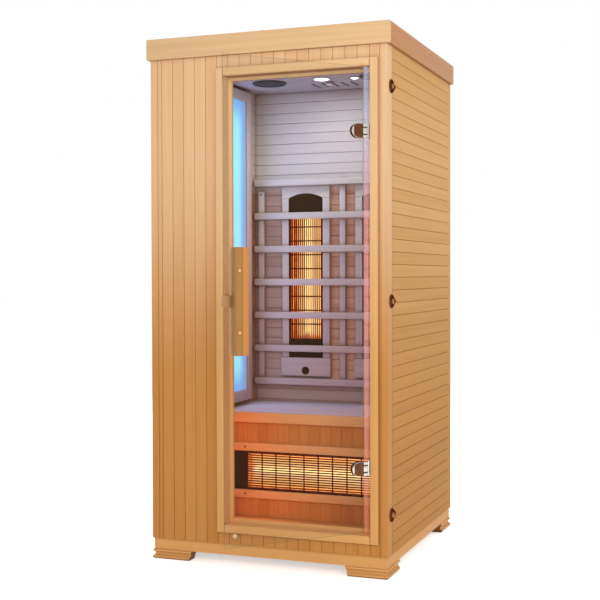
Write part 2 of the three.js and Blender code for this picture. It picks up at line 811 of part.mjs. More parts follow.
// Door: drawn shut, reaching from the hinge axis towards -X, with its outer face towards -Y
function doorLeaf() {
  const halfGlass = glassThickness / 2;
  place('door_glass', 'glass', box(
    [-glassFree, -halfGlass, glassBottom],
    [-glassHingeGap, halfGlass, glassTop],
  ), door);
  const between = hingeHeight / 2 + pinHead + 3 * seatGap;
  place('door_seal', 'plastic', box(
    [-glassHingeGap + seatGap, -sealThickness / 2, hingeHeights.lower + between],
    [sealLip, sealThickness / 2, hingeHeights.upper - between],
  ), door);

  const middle = catchHeight;
  const free = handleEdgeMargin - glassFree;
  const onGlass = halfGlass + seatGap;
  const grip = outline([
    [free, -onGlass],
    [free, -onGlass - handleProud],
    [free + handleFace, -onGlass - handleProud],
    [free + handleBase, -onGlass - handleHeel],
    [free + handleBase, -onGlass],
  ]);
  const ends = [middle - handleLength / 2, middle + handleLength / 2];
  place('handle_outer', 'wood', extrude('z', grip, ...ends), door);
  const slope = innerHandleChamfer;
  const innerGrip = outline([
    [free, onGlass],
    [free + innerHandleWidth, onGlass],
    [free + innerHandleWidth, onGlass + innerHandleProud - slope],
    [free + innerHandleWidth - slope, onGlass + innerHandleProud],
    [free + slope, onGlass + innerHandleProud],
    [free, onGlass + innerHandleProud - slope],
  ]);
  place('handle_inner', 'wood', extrude('z', innerGrip, ...ends), door);

  const edge = -glassFree - strikeCap - seatGap;
  const jaw = onGlass + strikePlate;
  place('door_strike', 'chrome', cut(
    box([edge, -jaw, middle - strikeHeight / 2], [edge + strikeWidth, jaw, middle + strikeHeight / 2]),
    box([-glassFree - seatGap, -onGlass, middle - strikeHeight], [0, onGlass, middle + strikeHeight]),
  ), door);
  const magnetFront = hingeY + jaw + catchGap;
  place('door_magnet', 'black', box(
    [doorwayLeft + seatGap, magnetFront, middle - magnetHeight / 2],
    [doorwayLeft + seatGap + magnetWidth, magnetFront + magnetDepth, middle + magnetHeight / 2],
  ));
}

// Glass hinge: a half-round clamp on the door, a leaf on the jamb, and a pin through both barrels
function hinges() {
  const half = hingeHeight / 2;
  const doorBarrel = half - leafBarrel - barrelGap;
  const bore = pinRadius + pinClearance;
  const jaw = glassThickness / 2 + clampPlate;
  const slot = glassThickness / 2 + seatGap;
  for (const [level, height] of Object.entries(hingeHeights)) {
    const plate = new THREE.Shape();
    plate.moveTo(height - half, -clampInner);
    plate.lineTo(height - half, half - clampReach);
    plate.absarc(height, half - clampReach, half, Math.PI, 2 * Math.PI);
    plate.lineTo(height + half, -clampInner);
    const clamp = cut(extrude('y', plate, -jaw, jaw, 8), box(
      [-clampReach - 1, -slot, height - half - 1],
      [seatGap - glassHingeGap, slot, height + half + 1],
    ));
    const span = [height - doorBarrel, height + doorBarrel];
    const web = box([-clampInner - 1, -slot, span[0]], [0, slot, span[1]]);
    const knuckle = join(clamp, web, rod('z', barrelRadius, ...span));
    place(`hinge_clamp_${level}`, 'chrome', cut(knuckle, rod('z', bore, span[0] - 1, span[1] + 1)), door);

    const wallX = doorwayRight - seatGap;
    const leaf = box(
      [wallX - leafThickness, leafFront, height - half],
      [wallX, leafFront + leafDepth, height + half],
    );
    const ears = [height - half, height + half - leafBarrel].flatMap((from) => [
      rod('z', barrelRadius, from, from + leafBarrel).translate(hingeX, hingeY, 0),
      box(
        [wallX - leafThickness, hingeY, from],
        [hingeX + barrelRadius - seatGap, leafFront + 1, from + leafBarrel],
      ),
    ]);
    const drill = rod('z', bore, height - half - 1, height + half + 1).translate(hingeX, hingeY, 0);
    place(`hinge_leaf_${level}`, 'chrome', cut(join(leaf, ...ears), drill));

    const headFrom = height + half + seatGap;
    const pin = turned('z', [
      [0, height - half], [pinRadius, height - half], [pinRadius, headFrom],
      [pinHeadRadius, headFrom], [pinHeadRadius, headFrom + pinHead], [0, headFrom + pinHead],
    ], 14);
    place(`hinge_pin_${level}`, 'chrome', pin.translate(hingeX, hingeY, 0));
  }
}

// Turn latch: a round cam on the front wall's edge whose tab lies over the side wall
function latches() {
  const tabY = latchPivotY + latchTabReach;
  const spread = Math.acos((latchRadius - latchTabRadius) / latchTabReach);
  for (const [side, sign] of [['left', -1], ['right', 1]]) {
    for (const [level, height] of Object.entries(latchHeights)) {
      const cam = new THREE.Shape();
      cam.absarc(latchPivotY, height, latchRadius, spread, 2 * Math.PI - spread);
      cam.absarc(tabY, height, latchTabRadius, -spread, spread);
      const wallFace = halfWidth + seatGap;
      const plateFace = wallFace + latchThickness;
      const plate = sign > 0 ? [wallFace, plateFace] : [-plateFace, -wallFace];
      const bossSpan = sign > 0
        ? [plateFace - 1, plateFace + latchBossHeight]
        : [-plateFace - latchBossHeight, 1 - plateFace];
      const boss = rod('x', latchBossRadius, ...bossSpan).translate(0, latchPivotY, height);
      place(`latch_${side}_${level}`, 'bronze', join(extrude('x', cam, ...plate, 6), boss));
    }
  }
}

plinth();
feet();
walls();
doorSurround();
roof();
ceilingFittings();
vent();
powerSupply();
bench();
heaters();
backrest();
colourLight();
controlPanel();
doorLeaf();
hinges();
latches();

// The origin is on the floor, midway between the furthest front and back points
const reach = new THREE.Box3().setFromObject(cabin, true);
cabin.position.y = -(reach.min.y + reach.max.y) / 2;

export default cabin;
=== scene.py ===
import json
from functools import partial

import bmesh
import bpy
import numpy as np
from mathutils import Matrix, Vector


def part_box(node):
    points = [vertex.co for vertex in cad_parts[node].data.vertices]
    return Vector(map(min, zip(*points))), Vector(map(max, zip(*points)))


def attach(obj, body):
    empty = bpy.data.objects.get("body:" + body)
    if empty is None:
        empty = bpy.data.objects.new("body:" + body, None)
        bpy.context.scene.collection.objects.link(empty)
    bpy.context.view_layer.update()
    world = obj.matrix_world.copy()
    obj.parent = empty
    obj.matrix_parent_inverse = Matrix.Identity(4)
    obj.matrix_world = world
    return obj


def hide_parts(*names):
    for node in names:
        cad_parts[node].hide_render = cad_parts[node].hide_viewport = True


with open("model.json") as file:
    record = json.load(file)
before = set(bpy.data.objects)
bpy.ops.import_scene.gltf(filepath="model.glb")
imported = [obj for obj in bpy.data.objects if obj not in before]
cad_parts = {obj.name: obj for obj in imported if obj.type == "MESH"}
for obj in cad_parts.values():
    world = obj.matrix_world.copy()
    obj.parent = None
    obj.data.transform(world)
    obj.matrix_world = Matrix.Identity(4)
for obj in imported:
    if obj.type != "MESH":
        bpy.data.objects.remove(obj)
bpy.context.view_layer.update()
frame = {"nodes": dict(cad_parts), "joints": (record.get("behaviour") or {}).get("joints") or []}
nodes = frame["nodes"]

# Bracket feet: four corner feet of solid hemlock, each of two short legs mitred together.
# The outer face is moulded on a spindle, a bead over a cove over a half round, the sawn ends
# are darker, as end grain takes more oil and as painted shade from under the cabin, and the foot
# is screwed up into the plinth from below.


def linear(code):
    """Linear colour of an sRGB hex code: value / 12.92 when dark, else the 2.4 power curve."""
    value = np.array([int(code[i:i + 2], 16) for i in (1, 3, 5)]) / 255
    value = np.where(value <= 0.04045, value / 12.92, ((value + 0.055) / 1.055) ** 2.4)
    return (*value.tolist(), 1.0)


def feed(node, inputs):
    """Sets each input of a node, or links it to a socket or to the output of another node."""
    for name, value in inputs.items():
        if isinstance(value, bpy.types.Node):
            value = next(output for output in value.outputs if output.enabled)
        if isinstance(value, bpy.types.NodeSocket):
            node.id_data.links.new(value, node.inputs[name])
        else:
            node.inputs[name].default_value = linear(value) if isinstance(value, str) else value


def add_node(tree, kind, inputs=None, ramp=None, **settings):
    """Adds a node with its settings, and feeds its inputs.

    A ramp is {share: colour}, where the stops at 0 and 1 are there from the start.
    """
    node = tree.nodes.new("ShaderNode" + kind)
    for name, value in settings.items():
        setattr(node, name, value)
    for share, code in (ramp or {}).items():
        stops = node.color_ramp.elements
        stop = stops[-share] if share in (0, 1) else stops.new(share)
        stop.color = linear(code)
    feed(node, inputs or {})
    return node


def new_finish(name):
    """Starts a material: returns it, what adds its nodes, its shader and its Object coordinates."""
    material = bpy.data.materials.new(name)
    material.use_nodes = True
    add = partial(add_node, material.node_tree)
    shader = material.node_tree.nodes["Principled BSDF"]
    return material, add, shader, add("TexCoord").outputs["Object"]


def hemlock(name, tones, grain, boards=None, inside=None, levels=(0.6, 1.5), corner_shade=0.75):
    """Planed, oiled hemlock: a satin, straight-grained softwood, pale with soft darker streaks.

    Two noises are stretched 60 to 1 along the grain axis: bands 14 mm wide, and year rings drawn
    3 mm wide, as the real 1 mm ones would not show. The tones are a pale and a deep colour, or one
    such pair for the upper part and one for the lower, and these pass into each other between the
    two levels: the lower pair is darker and richer, painted shade for the light falling off towards
    the floor. With boards = (axis, first joint, pitch), each board is numbered by
    (place - first joint) / pitch, and its number gives it a tone and a stretch of figure of its
    own.
    With inside = (axis, way, tones, levels), faces turned that way along the axis take the tones of
    the inside, which hold painted light and shade. Joints and corners within 20 mm are darkened to
    brown by the given share: painted shade, where they are hidden from the light.
    """
    material, add, shader, place = new_finish(name)
    apart = add("SeparateXYZ", {0: place}).outputs
    band_width, drawn_out, far_along = 0.014, 60, (40, 40, 40)
    stretch = np.full(3, 1 / band_width)
    stretch[grain] /= drawn_out
    shift, chance = (0, 0, 0), 0.5
    if boards:
        axis, first, pitch = boards
        number = add("Math", {0: apart[axis], 1: 1 / pitch, 2: -first / pitch},
                     operation="MULTIPLY_ADD")
        number = add("Math", {0: number}, operation="FLOOR")
        chance = add("TexWhiteNoise", {"W": number}, noise_dimensions="1D")
        shift = add("VectorMath", {0: chance.outputs["Color"], 1: far_along}, operation="MULTIPLY")
    figure = add("VectorMath", {0: place, 1: stretch, 2: shift}, operation="MULTIPLY_ADD")
    bands = add("TexNoise", {"Vector": figure, "Scale": 1.0, "Detail": 2.0})
    rings = add("TexNoise", {"Vector": figure, "Scale": 4.5, "Detail": 2.0})
    tone = -0.06
    for pattern, weight in ((bands, 0.6), (rings, 0.28), (chance, 0.26)):
        tone = add("Math", {0: pattern, 1: weight, 2: tone}, operation="MULTIPLY_ADD")
    tone.use_clamp = True

    def streaked(tones, levels):
        """Colour of the streaks, in one pair of tones or from the lower pair to the upper."""
        if isinstance(tones[0], str):
            return add("Mix", {0: tone, 6: tones[1], 7: tones[0]}, data_type="RGBA")
        upper, lower = (streaked(pair, levels) for pair in tones)
        height = add("MapRange", {0: apart[2], 1: levels[0], 2: levels[1]},
                     interpolation_type="SMOOTHSTEP")
        return add("Mix", {0: height, 6: lower, 7: upper}, data_type="RGBA")

    colour = streaked(tones, levels)
    if inside:
        axis, way, *lining = inside
        facing = add("SeparateXYZ", {0: place.node.outputs["Normal"]}).outputs[axis]
        facing = add("Math", {0: facing, 1: way}, operation="MULTIPLY")
        turned_in = add("Math", {0: facing, 1: 0.3}, operation="GREATER_THAN")
        colour = add("Mix", {0: turned_in, 6: colour, 7: streaked(*lining)}, data_type="RGBA")
    if corner_shade:
        # Painted shade: joints and corners go brown where the ambient occlusion finds them hidden
        # from the light.
        open_sky = add("AmbientOcclusion", {"Distance": 0.02}, samples=4).outputs["AO"]
        painted_corner_shade = add("MapRange", {0: open_sky, 1: 0.9, 2: 0.25, 4: corner_shade})
        colour = add("Mix", {0: painted_corner_shade, 6: colour, 7: "#764214"}, data_type="RGBA")
    feed(shader, {
        "Base Color": colour,
        "Roughness": add("MapRange", {0: rings, 3: 0.44, 4: 0.62}),
        "Normal": add("Bump", {"Strength": 0.3, "Distance": 0.0004, "Height": rings}),
        "Specular IOR Level": 0.2})
    return material


def loft(name, stacks, material, node=None, body="cabin"):
    """Closed skin over rows of rings: point i of a ring joins point i of the next, ends are capped.

    Each stack is an array of rings x points x 3, and is one closed body of the piece. The piece
    rides on a body, and stands for a CAD node where one is named.
    """
    points, faces, start = [], [], 0
    for stack in stacks:
        count, size = stack.shape[:2]
        ring = start + np.arange((count - 1) * size).reshape(count - 1, size)
        ahead = np.roll(ring, -1, axis=1)
        faces += np.stack([ring, ahead, ahead + size, ring + size], axis=-1).reshape(-1, 4).tolist()
        last = start + (count - 1) * size
        faces += [list(range(start, start + size)), list(range(last, last + size))]
        points.append(stack.reshape(-1, 3))
        start = last + size
    mesh = bpy.data.meshes.new(name)
    mesh.from_pydata(np.concatenate(points), [], faces)
    shell = bmesh.new()
    shell.from_mesh(mesh)
    bmesh.ops.recalc_face_normals(shell, faces=shell.faces)
    shell.to_mesh(mesh)
    shell.free()
    mesh.shade_smooth()
    mesh.set_sharp_from_angle(angle=np.radians(35))
    mesh.materials.append(material)
    piece = bpy.data.objects.new(name, mesh)
    bpy.context.scene.collection.objects.link(piece)
    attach(piece, body)
    if node:
        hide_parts(node)
    return piece


def paint(piece, finishes, faces):
    """Adds finishes to a piece, and gives each of its faces the number of its own."""
    for finish in finishes:
        piece.data.materials.append(finish)
    piece.data.polygons.foreach_set("material_index", faces.astype(np.int32))


# Upper and lower pairs of tones: the lower is darker and richer, painted shade for the light
# falling off towards the floor.
trim = (("#efca9c", "#dba975"), ("#e2ad6e", "#ce9150"))
ways = ("across", "deep", "upright")
wood_x, wood_y, wood_z = (
    hemlock("hemlock_grain_" + way, trim, axis) for axis, way in enumerate(ways))
# Sawn ends: end grain darkened by oil, and painted shade from under the cabin.
end_grain_and_shade = hemlock("hemlock_end_grain", ("#8f6034", "#6b4220"), 2)

# Outer face, from the floor up: torus cos t, then a hollow of 2 cove s (1 - s), then bead cos t.
foot_leg, foot_taper, foot_thickness, foot_height = 0.152, 0.012, 0.042, 0.0357
bead, cove, torus, fillet = 0.0045, 0.005, 0.006, 0.001
half_turn = np.linspace(-np.pi / 2, np.pi / 2, 9)
along_cove = np.linspace(0, 1, 9)[1:-1]
torus_top, bead_bottom = 2 * torus + fillet, foot_height - 2 * bead - fillet
foot_out = np.concatenate([
    [-foot_thickness, 0], torus * np.cos(half_turn), -2 * cove * along_cove * (1 - along_cove),
    bead * np.cos(half_turn), [0, -foot_thickness]])
foot_rise = np.concatenate([
    [0, 0], fillet + torus + torus * np.sin(half_turn),
    torus_top + (bead_bottom - torus_top) * along_cove,
    bead_bottom + bead + bead * np.sin(half_turn), [foot_height, foot_height]])
foot_end = foot_leg - foot_taper * (1 - foot_rise / foot_height)
foot_x = np.stack([foot_end, -foot_out, -foot_out])
foot_y = np.stack([-foot_out, -foot_out, foot_end])
foot_z = np.stack([foot_rise] * 3)
leg_faces = np.concatenate([np.repeat([0, 1], len(foot_rise)), [2, 2]])
plinth_low, plinth_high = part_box("base_frame")
foot_corners = {
    "foot_front_left": (plinth_low.x, plinth_low.y),
    "foot_front_right": (plinth_high.x, plinth_low.y),
    "foot_rear_right": (plinth_high.x, plinth_high.y),
    "foot_rear_left": (plinth_low.x, plinth_high.y),
}
for quarters, (name, (x, y)) in enumerate(foot_corners.items()):
    cosine, sine = np.round([np.cos(quarters * np.pi / 2), np.sin(quarters * np.pi / 2)])
    placed = np.stack([x + cosine * foot_x - sine * foot_y,
                       y + sine * foot_x + cosine * foot_y, foot_z], axis=-1)
    first, second = (wood_y, wood_x) if quarters % 2 else (wood_x, wood_y)
    foot = loft(name + "_moulded", [placed], first, name)
    paint(foot, (second, end_grain_and_shade), leg_faces)

# Plinth and floor: four hemlock rails glued into a frame that stands on the feet, with a ledge
# inside that carries the floor board flush with its top.


def dress(material, *names):
    """Gives CAD nodes their finish."""
    for name in names:
        nodes[name].data.materials[0] = material


dress(wood_x, "base_frame", "floor_panel")

# Boarded walls: tongue-and-groove hemlock boards 44 mm wide with a V joint, upright in front and
# level on the sides and back, on hidden frames. The panels stand on the plinth and are hooked
# together at the corners.
board_pitch, edge_stile, wall_corner_shade = 0.044, 0.0445, 0.45
# Upper and lower pairs: the lower darker and richer, painted shade for the light falling off
# towards the floor.
honey = (("#edcaa1", "#d5a26d"), ("#cb9351", "#b67130"))
# Inside the cabin: painted light, the lavender of the cabin's lamps on the wood, pinker lower down
# by the heaters.
lamp_tinted = (("#ddd4cf", "#bfb1aa"), ("#cdb4b0", "#ad918c"))
# Left wall inside: painted shade below the colour light, with the lamps' grey above it.
shaded = (("#e2cfc2", "#bfa997"), ("#c08c64", "#996a48"))
golden = (("#dfb276", "#c28a42"), ("#c38728", "#a6670c"))
# Back wall inside: the lamps' lavender above, painted shade below the backrest top.
behind = (lamp_tinted[0], ("#c9b0a6", "#9e735e"))
low_levels, lining_levels = (0.3, 1.5), (0.6, 1.5)
light_top, backrest_top = (1.36, 1.46), (1.38, 1.44)
wall_low, wall_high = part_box("front_wall")
level_boards = (2, wall_high.z, board_pitch)
dress(hemlock("hemlock_boards_front", honey, 2, (0, wall_low.x + edge_stile, board_pitch),
              (1, 1, lamp_tinted, lining_levels), corner_shade=wall_corner_shade), "front_wall")
for name, lining in (("left_wall", (0, 1, shaded, light_top)),
                     ("right_wall", (0, -1, lamp_tinted, low_levels))):
    dress(hemlock("hemlock_boards_" + name, golden, 1, level_boards, lining, low_levels,
                  wall_corner_shade), name)
dress(hemlock("hemlock_boards_back", golden, 0, level_boards, (1, -1, behind, backrest_top),
              low_levels), "back_wall")

# Roof: four fascia boards with eased edges glued round a tray, the inner ceiling board below and a
# plywood cover dropped inside the rim. The power box sits in the tray, its gland through the back.


def board(low, high, axis, ease):
    """Rings of a board: a rounded rectangle carried along an axis, drawn in at both ends.

    The corners are quarter circles of the ease, and at the ends the section shrinks by
    ease * (1 - sin t) while it goes ease * (1 - cos t) in, for three steps of t.
    """
    low, high = np.array(low, float), np.array(high, float)
    half, middle = (high - low) / 2, (high + low) / 2
    angle = (np.arange(4)[:, None] * np.pi / 2 + np.linspace(0, np.pi / 2, 4)).ravel()
    corner = np.repeat([[1, 1], [-1, 1], [-1, -1], [1, -1]], 4, axis=0)
    step = np.array([0.3, 0.9, np.pi / 2])
    draw, inward = ease * (1 - np.sin(step)), ease * (1 - np.cos(step))
    draw = np.concatenate([draw, draw[::-1]])[:, None]
    rings = np.zeros((6, 16, 3))
    rings[..., axis] = np.concatenate([low[axis] + inward, high[axis] - inward[::-1]])[:, None]
    for part, turn in enumerate((np.cos(angle), np.sin(angle))):
        side = (axis + 1 + part) % 3
        straight = middle[side] + corner[:, part] * (half[side] - ease)
        rings[..., side] = straight + (ease - draw) * turn
    return rings


def four_boards(node, names, parts, width, run, across, ease, finishes, gap=0.0):
    """Four eased boards round an opening, in place of a CAD node.

    The first two lie along the run axis at the low and the high end of the across axis. The others
    are butted between them with a gap, at the low and the high end of the run.
    """
    low, high = np.array(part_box(node))
    for count, part in enumerate(parts):
        between = count // 2
        axis, aside = (across, run) if between else (run, across)
        start, end = low.copy(), high.copy()
        start[across] += between * (width + gap)
        end[across] -= between * (width + gap)
        if count % 2:
            start[aside] = high[aside] - width
        else:
            end[aside] = low[aside] + width
        loft(names + part, [board(start, end, axis, ease)], finishes[between], node)


fascia_thickness, fascia_ease, joint = 0.018, 0.0025, 0.0002
quarter_sawn = hemlock("hemlock_quarter_sawn", ("#e9c79d", "#d1a26e"), 0)
flat_sawn = hemlock("hemlock_flat_sawn", ("#d09e70", "#a66c40"), 1)
four_boards("roof_fascia", "fascia_", ("front", "rear", "left", "right"), fascia_thickness, 0, 1,
            fascia_ease, (quarter_sawn, flat_sawn), joint)
# Wood inside the cabin, the ceiling too: its lavender grey is painted light, the colour of the
# cabin's lamps on it.
inner_x, inner_y, inner_z = (
    hemlock("bare_hemlock_" + way, lamp_tinted, axis) for axis, way in enumerate(ways))
dress(hemlock("bare_hemlock_ceiling", ("#c9c2c2", "#ada3a1"), 0), "ceiling_panel")
dress(wood_y, "roof_cover")


def mottled(name, patches, detail, sockets, relief=None):
    """A finish that varies in soft patches, so many to the metre.

    A socket given as a pair goes from the first value to the second with one noise, which also
    gives the relief, a strength and a depth.
    """
    material, add, shader, place = new_finish(name)
    patch = add("TexNoise", {"Vector": place, "Scale": patches, "Detail": detail})
    for socket, value in sockets.items():
        if isinstance(value, tuple) and isinstance(value[0], str):
            value = add("Mix", {0: patch, 6: value[0], 7: value[1]}, data_type="RGBA")
        elif isinstance(value, tuple):
            value = add("MapRange", {0: patch, 3: value[0], 4: value[1]})
        feed(shader, {socket: value})
    if relief:
        bump = {"Strength": relief[0], "Distance": relief[1], "Height": patch}
        feed(shader, {"Normal": add("Bump", bump)})
    return material


# Powder-coated steel: brown black and satin, with the soft orange-peel of baked powder, 6 mm wide.
powder_coat = mottled("black_powder_coat", 160, 1, {
    "Base Color": ("#38220f", "#402818"), "Roughness": (0.55, 0.62), "Specular IOR Level": 0.03})
dress(powder_coat, "power_box", "cable_gland")

# Loudspeakers: two round ceiling speakers, moulded black rim round a perforated steel grille, each
# clipped up through a hole in the ceiling board.


def turned(profile, centre, axis, count=40):
    """Rings of a turned piece: each (radius, height) of the profile is a circle round the axis."""
    radius, height = np.array(profile, float).T[:, :, None]
    angle = np.linspace(0, 2 * np.pi, count, endpoint=False)
    wide, deep = (axis + 1) % 3, (axis + 2) % 3
    rings = np.zeros((len(radius), count, 3))
    rings[..., axis] = centre[axis] + height
    rings[..., wide] = centre[wide] + radius * np.cos(angle)
    rings[..., deep] = centre[deep] + radius * np.sin(angle)
    return rings


perforated, add, shader, place = new_finish("perforated_black_steel")
# Painted steel sheet with punched holes 3 mm across every 5 mm, drawn as dark dots with a rim.
holes = add("TexVoronoi", {"Vector": place, "Scale": 200.0, "Randomness": 0.0},
            voronoi_dimensions="2D")
solid = add("MapRange", {0: holes, 1: 0.27, 2: 0.36})
feed(shader, {
    "Base Color": add("Mix", {0: solid, 6: "#0b0b0c", 7: "#3b3a3d"}, data_type="RGBA"),
    "Normal": add("Bump", {"Strength": 0.5, "Distance": 0.001, "Height": solid}),
    "Roughness": 0.5})

# Moulded black ABS: satin, greyed a little by the fine spark texture of the mould, drawn 2 mm wide.
black_abs = mottled("moulded_black_abs", 500, 1, {
    "Base Color": ("#3a383c", "#4c4a4f"), "Roughness": 0.5})

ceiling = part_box("ceiling_panel")[0].z
speaker_profile = np.array([
    (0.4, -6.6), (20, -6.3), (40, -5.4), (54, -4.2), (58, -3.6), (59, -5.4), (61, -7.4), (64, -8),
    (67, -7.4), (69.4, -5.4), (70, -2.5), (69.6, -0.3), (52, -0.3), (52, 18), (41.6, 34),
    (0.4, 34)]) / 1000
grille_rings, speaker_points = 4, 40
rim_faces = np.repeat(np.arange(len(speaker_profile) - 1) >= grille_rings, speaker_points)
for side in ("left", "right"):
    x, y, _ = np.mean(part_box("speaker_" + side), axis=0)
    speaker = turned(speaker_profile, (x, y, ceiling), 2, speaker_points)
    speaker = loft("speaker_%s_round" % side, [speaker], perforated,
                   "speaker_" + side)
    paint(speaker, [black_abs], np.concatenate([rim_faces, [False, True]]))

# Ceiling lights: a downlight and a small reading light, each a pressed steel rim round a frosted
# lens with white diodes behind it.

# Nickel-plated steel rim: pale grey metal with fine turning marks, 1 mm apart.
satin_steel = mottled("satin_nickel_plate", 900, 1, {
    "Base Color": "#d9d8d4", "Roughness": (0.22, 0.38), "Metallic": 1.0})

lit_lens, add, shader, place = new_finish("frosted_lens_lit_white")
# Frosted acrylic lit from behind: cold white, brightest in the middle, where the dome faces
# straight down, and fainter where it slopes up to the rim. The diodes show a little, 9 mm apart.
diodes = add("TexVoronoi", {"Vector": place, "Scale": 110.0, "Randomness": 0.0},
             voronoi_dimensions="2D")
uneven = add("MapRange", {0: diodes, 2: 0.7, 3: 1.1, 4: 0.9})
slope = add("SeparateXYZ", {0: place.node.outputs["Normal"]}).outputs[2]
level = add("MapRange", {0: slope, 1: -0.75, 2: -1.0, 3: 0.9, 4: 6.0})
feed(shader, {
    "Emission Strength": add("Math", {0: level, 1: uneven}, operation="MULTIPLY"),
    "Emission Color": "#f2f7ff", "Base Color": "#f4f6f8", "Roughness": 0.35})

# The rim's lip and the lens as shares of the light's radius and of its drop below the ceiling.
lip_shares = np.array([(0.88, -0.3), (0.89, -0.75), (0.92, -1), (0.96, -0.9), (1, -0.45)])
lens_shares = np.array([
    (0, -1.6), (0.3, -1.5), (0.6, -1.1), (0.8, -0.6), (0.87, -0.3), (0.87, -0.1), (0, -0.1)])
rest_gap, lens_tip = 0.0003, 0.0003
for name in ("downlight", "reading_light"):
    low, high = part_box(name)
    centre = ((low.x + high.x) / 2, (low.y + high.y) / 2, ceiling)
    size, drop, top = (high.x - low.x) / 2, ceiling - low.z, high.z - ceiling
    rim = [*(lip_shares * (size, drop)), (0.995 * size, -rest_gap), (0.8 * size, -rest_gap),
           (0.8 * size, top), (0.7 * size, top), (0.7 * size, -0.1 * drop)]
    loft(name + "_rim", [turned(rim, centre, 2)], satin_steel, name)
    lens = np.maximum(lens_shares * (size, drop), (lens_tip, -np.inf))
    loft(name + "_lens", [turned(lens, centre, 2)], lit_lens, name)

# Ceiling vent: five slots through the ceiling, shut by a slotted hemlock slider above it that is
# pushed along by a turned knob.
dress(inner_y, "vent_slider")

# Bench: a seat of six boards behind a skirt board, over a kick panel of upright boards. Two rails
# screwed across the kick panel hold the leg heater between them.
seat_pitch = 0.078
# The seat's lavender grey is painted light, the colour of the cabin's lamps on it.
dress(hemlock("bare_hemlock_seat", ("#ddd3d8", "#bfb0b8"), 0,
              (1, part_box("bench_seat")[0].y, seat_pitch)), "bench_seat")
# The kick panel, skirt and rails are painted orange: painted light, the leg heater's glow on the
# wood.
dress(hemlock("russet_hemlock_boards", ("#df9a56", "#b2682c"), 2,
              (0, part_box("kick_panel")[0].x, board_pitch), corner_shade=0), "kick_panel")
rail_wood = hemlock("russet_hemlock_across", ("#f0bb84", "#d99d62"), 0)
rails = {"bench_skirt": ("wood", 0.003), "kick_rail_upper": ("inner_wood", 0.002),
         "kick_rail_lower": ("inner_wood", 0.002)}
for name, (slot, ease) in rails.items():
    loft(name + "_eased", [board(*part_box(name), 0, ease)], rail_wood, name)

# Black-oxide steel screw heads: dark, satin, mottled by the oxide.
screw_steel = mottled("black_oxide_screw", 700, 2, {
    "Base Color": ("#2a2320", "#4a3d36"), "Metallic": 0.8, "Roughness": 0.45})
screw_profile = np.array([(0.8, 0.2), (1.0, -0.7), (3.2, -0.9), (4.0, -0.3), (4.0, 1.5),
                          (0.8, 1.5)]) / 1000
screw_points, rail_screw_reach = 16, 0.278
rail_screws = []
for name in ("kick_rail_upper", "kick_rail_lower"):
    low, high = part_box(name)
    for x in (-rail_screw_reach, rail_screw_reach):
        rail_screws.append(turned(screw_profile, (x, low.y, (low.z + high.z) / 2), 1, screw_points))
loft("rail_screws", rail_screws, screw_steel)

# Tube heaters: a folded steel housing with an aluminium reflector, a quartz tube along its middle
# and a welded wire grille clipped into its front. Two stand in the back wall, one lies under the
# seat.
reflector_finish, add, shader, place = new_finish("hot_aluminium_reflector")
# Polished aluminium showing the tube's glow as a painted reflection, emitted as its own light:
# pale yellow beside the tube, orange across the sides and deep red at the edges and the first 50 mm
# of each end.
across = add("Attribute", attribute_name="across").outputs["Fac"]
along = add("Attribute", attribute_name="along").outputs["Fac"]
ripple = add("TexNoise", {"Vector": place, "Scale": 45.0, "Detail": 2.0})
ends = add("MapRange", {0: along, 2: 0.1}, interpolation_type="SMOOTHSTEP")
inner = add("Math", {0: 1.0, 1: across}, operation="SUBTRACT")
# Painted reflection: the tube's glow, brightest along the line nearest the tube, fading to the
# edges and ends.
reflected_glow = add("Math", {0: ripple, 1: 0.3, 2: -0.15}, operation="MULTIPLY_ADD")
reflected_glow = add("Math", {0: inner, 1: reflected_glow}, operation="ADD")
reflected_glow = add("Math", {0: reflected_glow, 1: ends}, operation="MULTIPLY", use_clamp=True)
glow = add("ValToRGB", {0: reflected_glow}, {0: "#94351a", 0.12: "#e68c44", 0.45: "#fdc072", 1: "#ffe2a8"})
feed(shader, {"Emission Color": glow, "Emission Strength": 1.0, "Base Color": "#c9a27c",
              "Metallic": 1.0, "Roughness": 0.3})

tube_finish, add, shader, place = new_finish("glowing_quartz_tube")
# Quartz tube with a glowing filament: yellow-white, falling to red in the last 50 mm of each end.
along = add("Attribute", attribute_name="along").outputs["Fac"]
ends = add("MapRange", {0: along, 1: 0.02, 2: 0.12}, interpolation_type="SMOOTHSTEP")
coil = add("TexNoise", {"Vector": place, "Scale": 30.0, "Detail": 1.0})
glow = add("Mix", {0: ends, 6: "#c9380f", 7: "#ffdc92"}, data_type="RGBA")
power = add("MapRange", {0: coil, 3: 0.7, 4: 1.3})
power = add("Math", {0: power, 1: ends, 2: 0.5}, operation="MULTIPLY_ADD")
feed(shader, {"Emission Color": glow, "Emission Strength": power, "Base Color": "#f3e3c4",
              "Roughness": 0.15})

# Drawn steel wire, painted black, with a painted dull red glow in patches that stands for the
# heaters' light on it.
wire_finish = mottled("scorched_steel_wire", 25, 3, {
    "Base Color": ("#120401", "#200802"), "Emission Color": "#6a1c04",
    "Emission Strength": (0.4, 0.9), "Specular IOR Level": 0.0, "Roughness": 0.6})


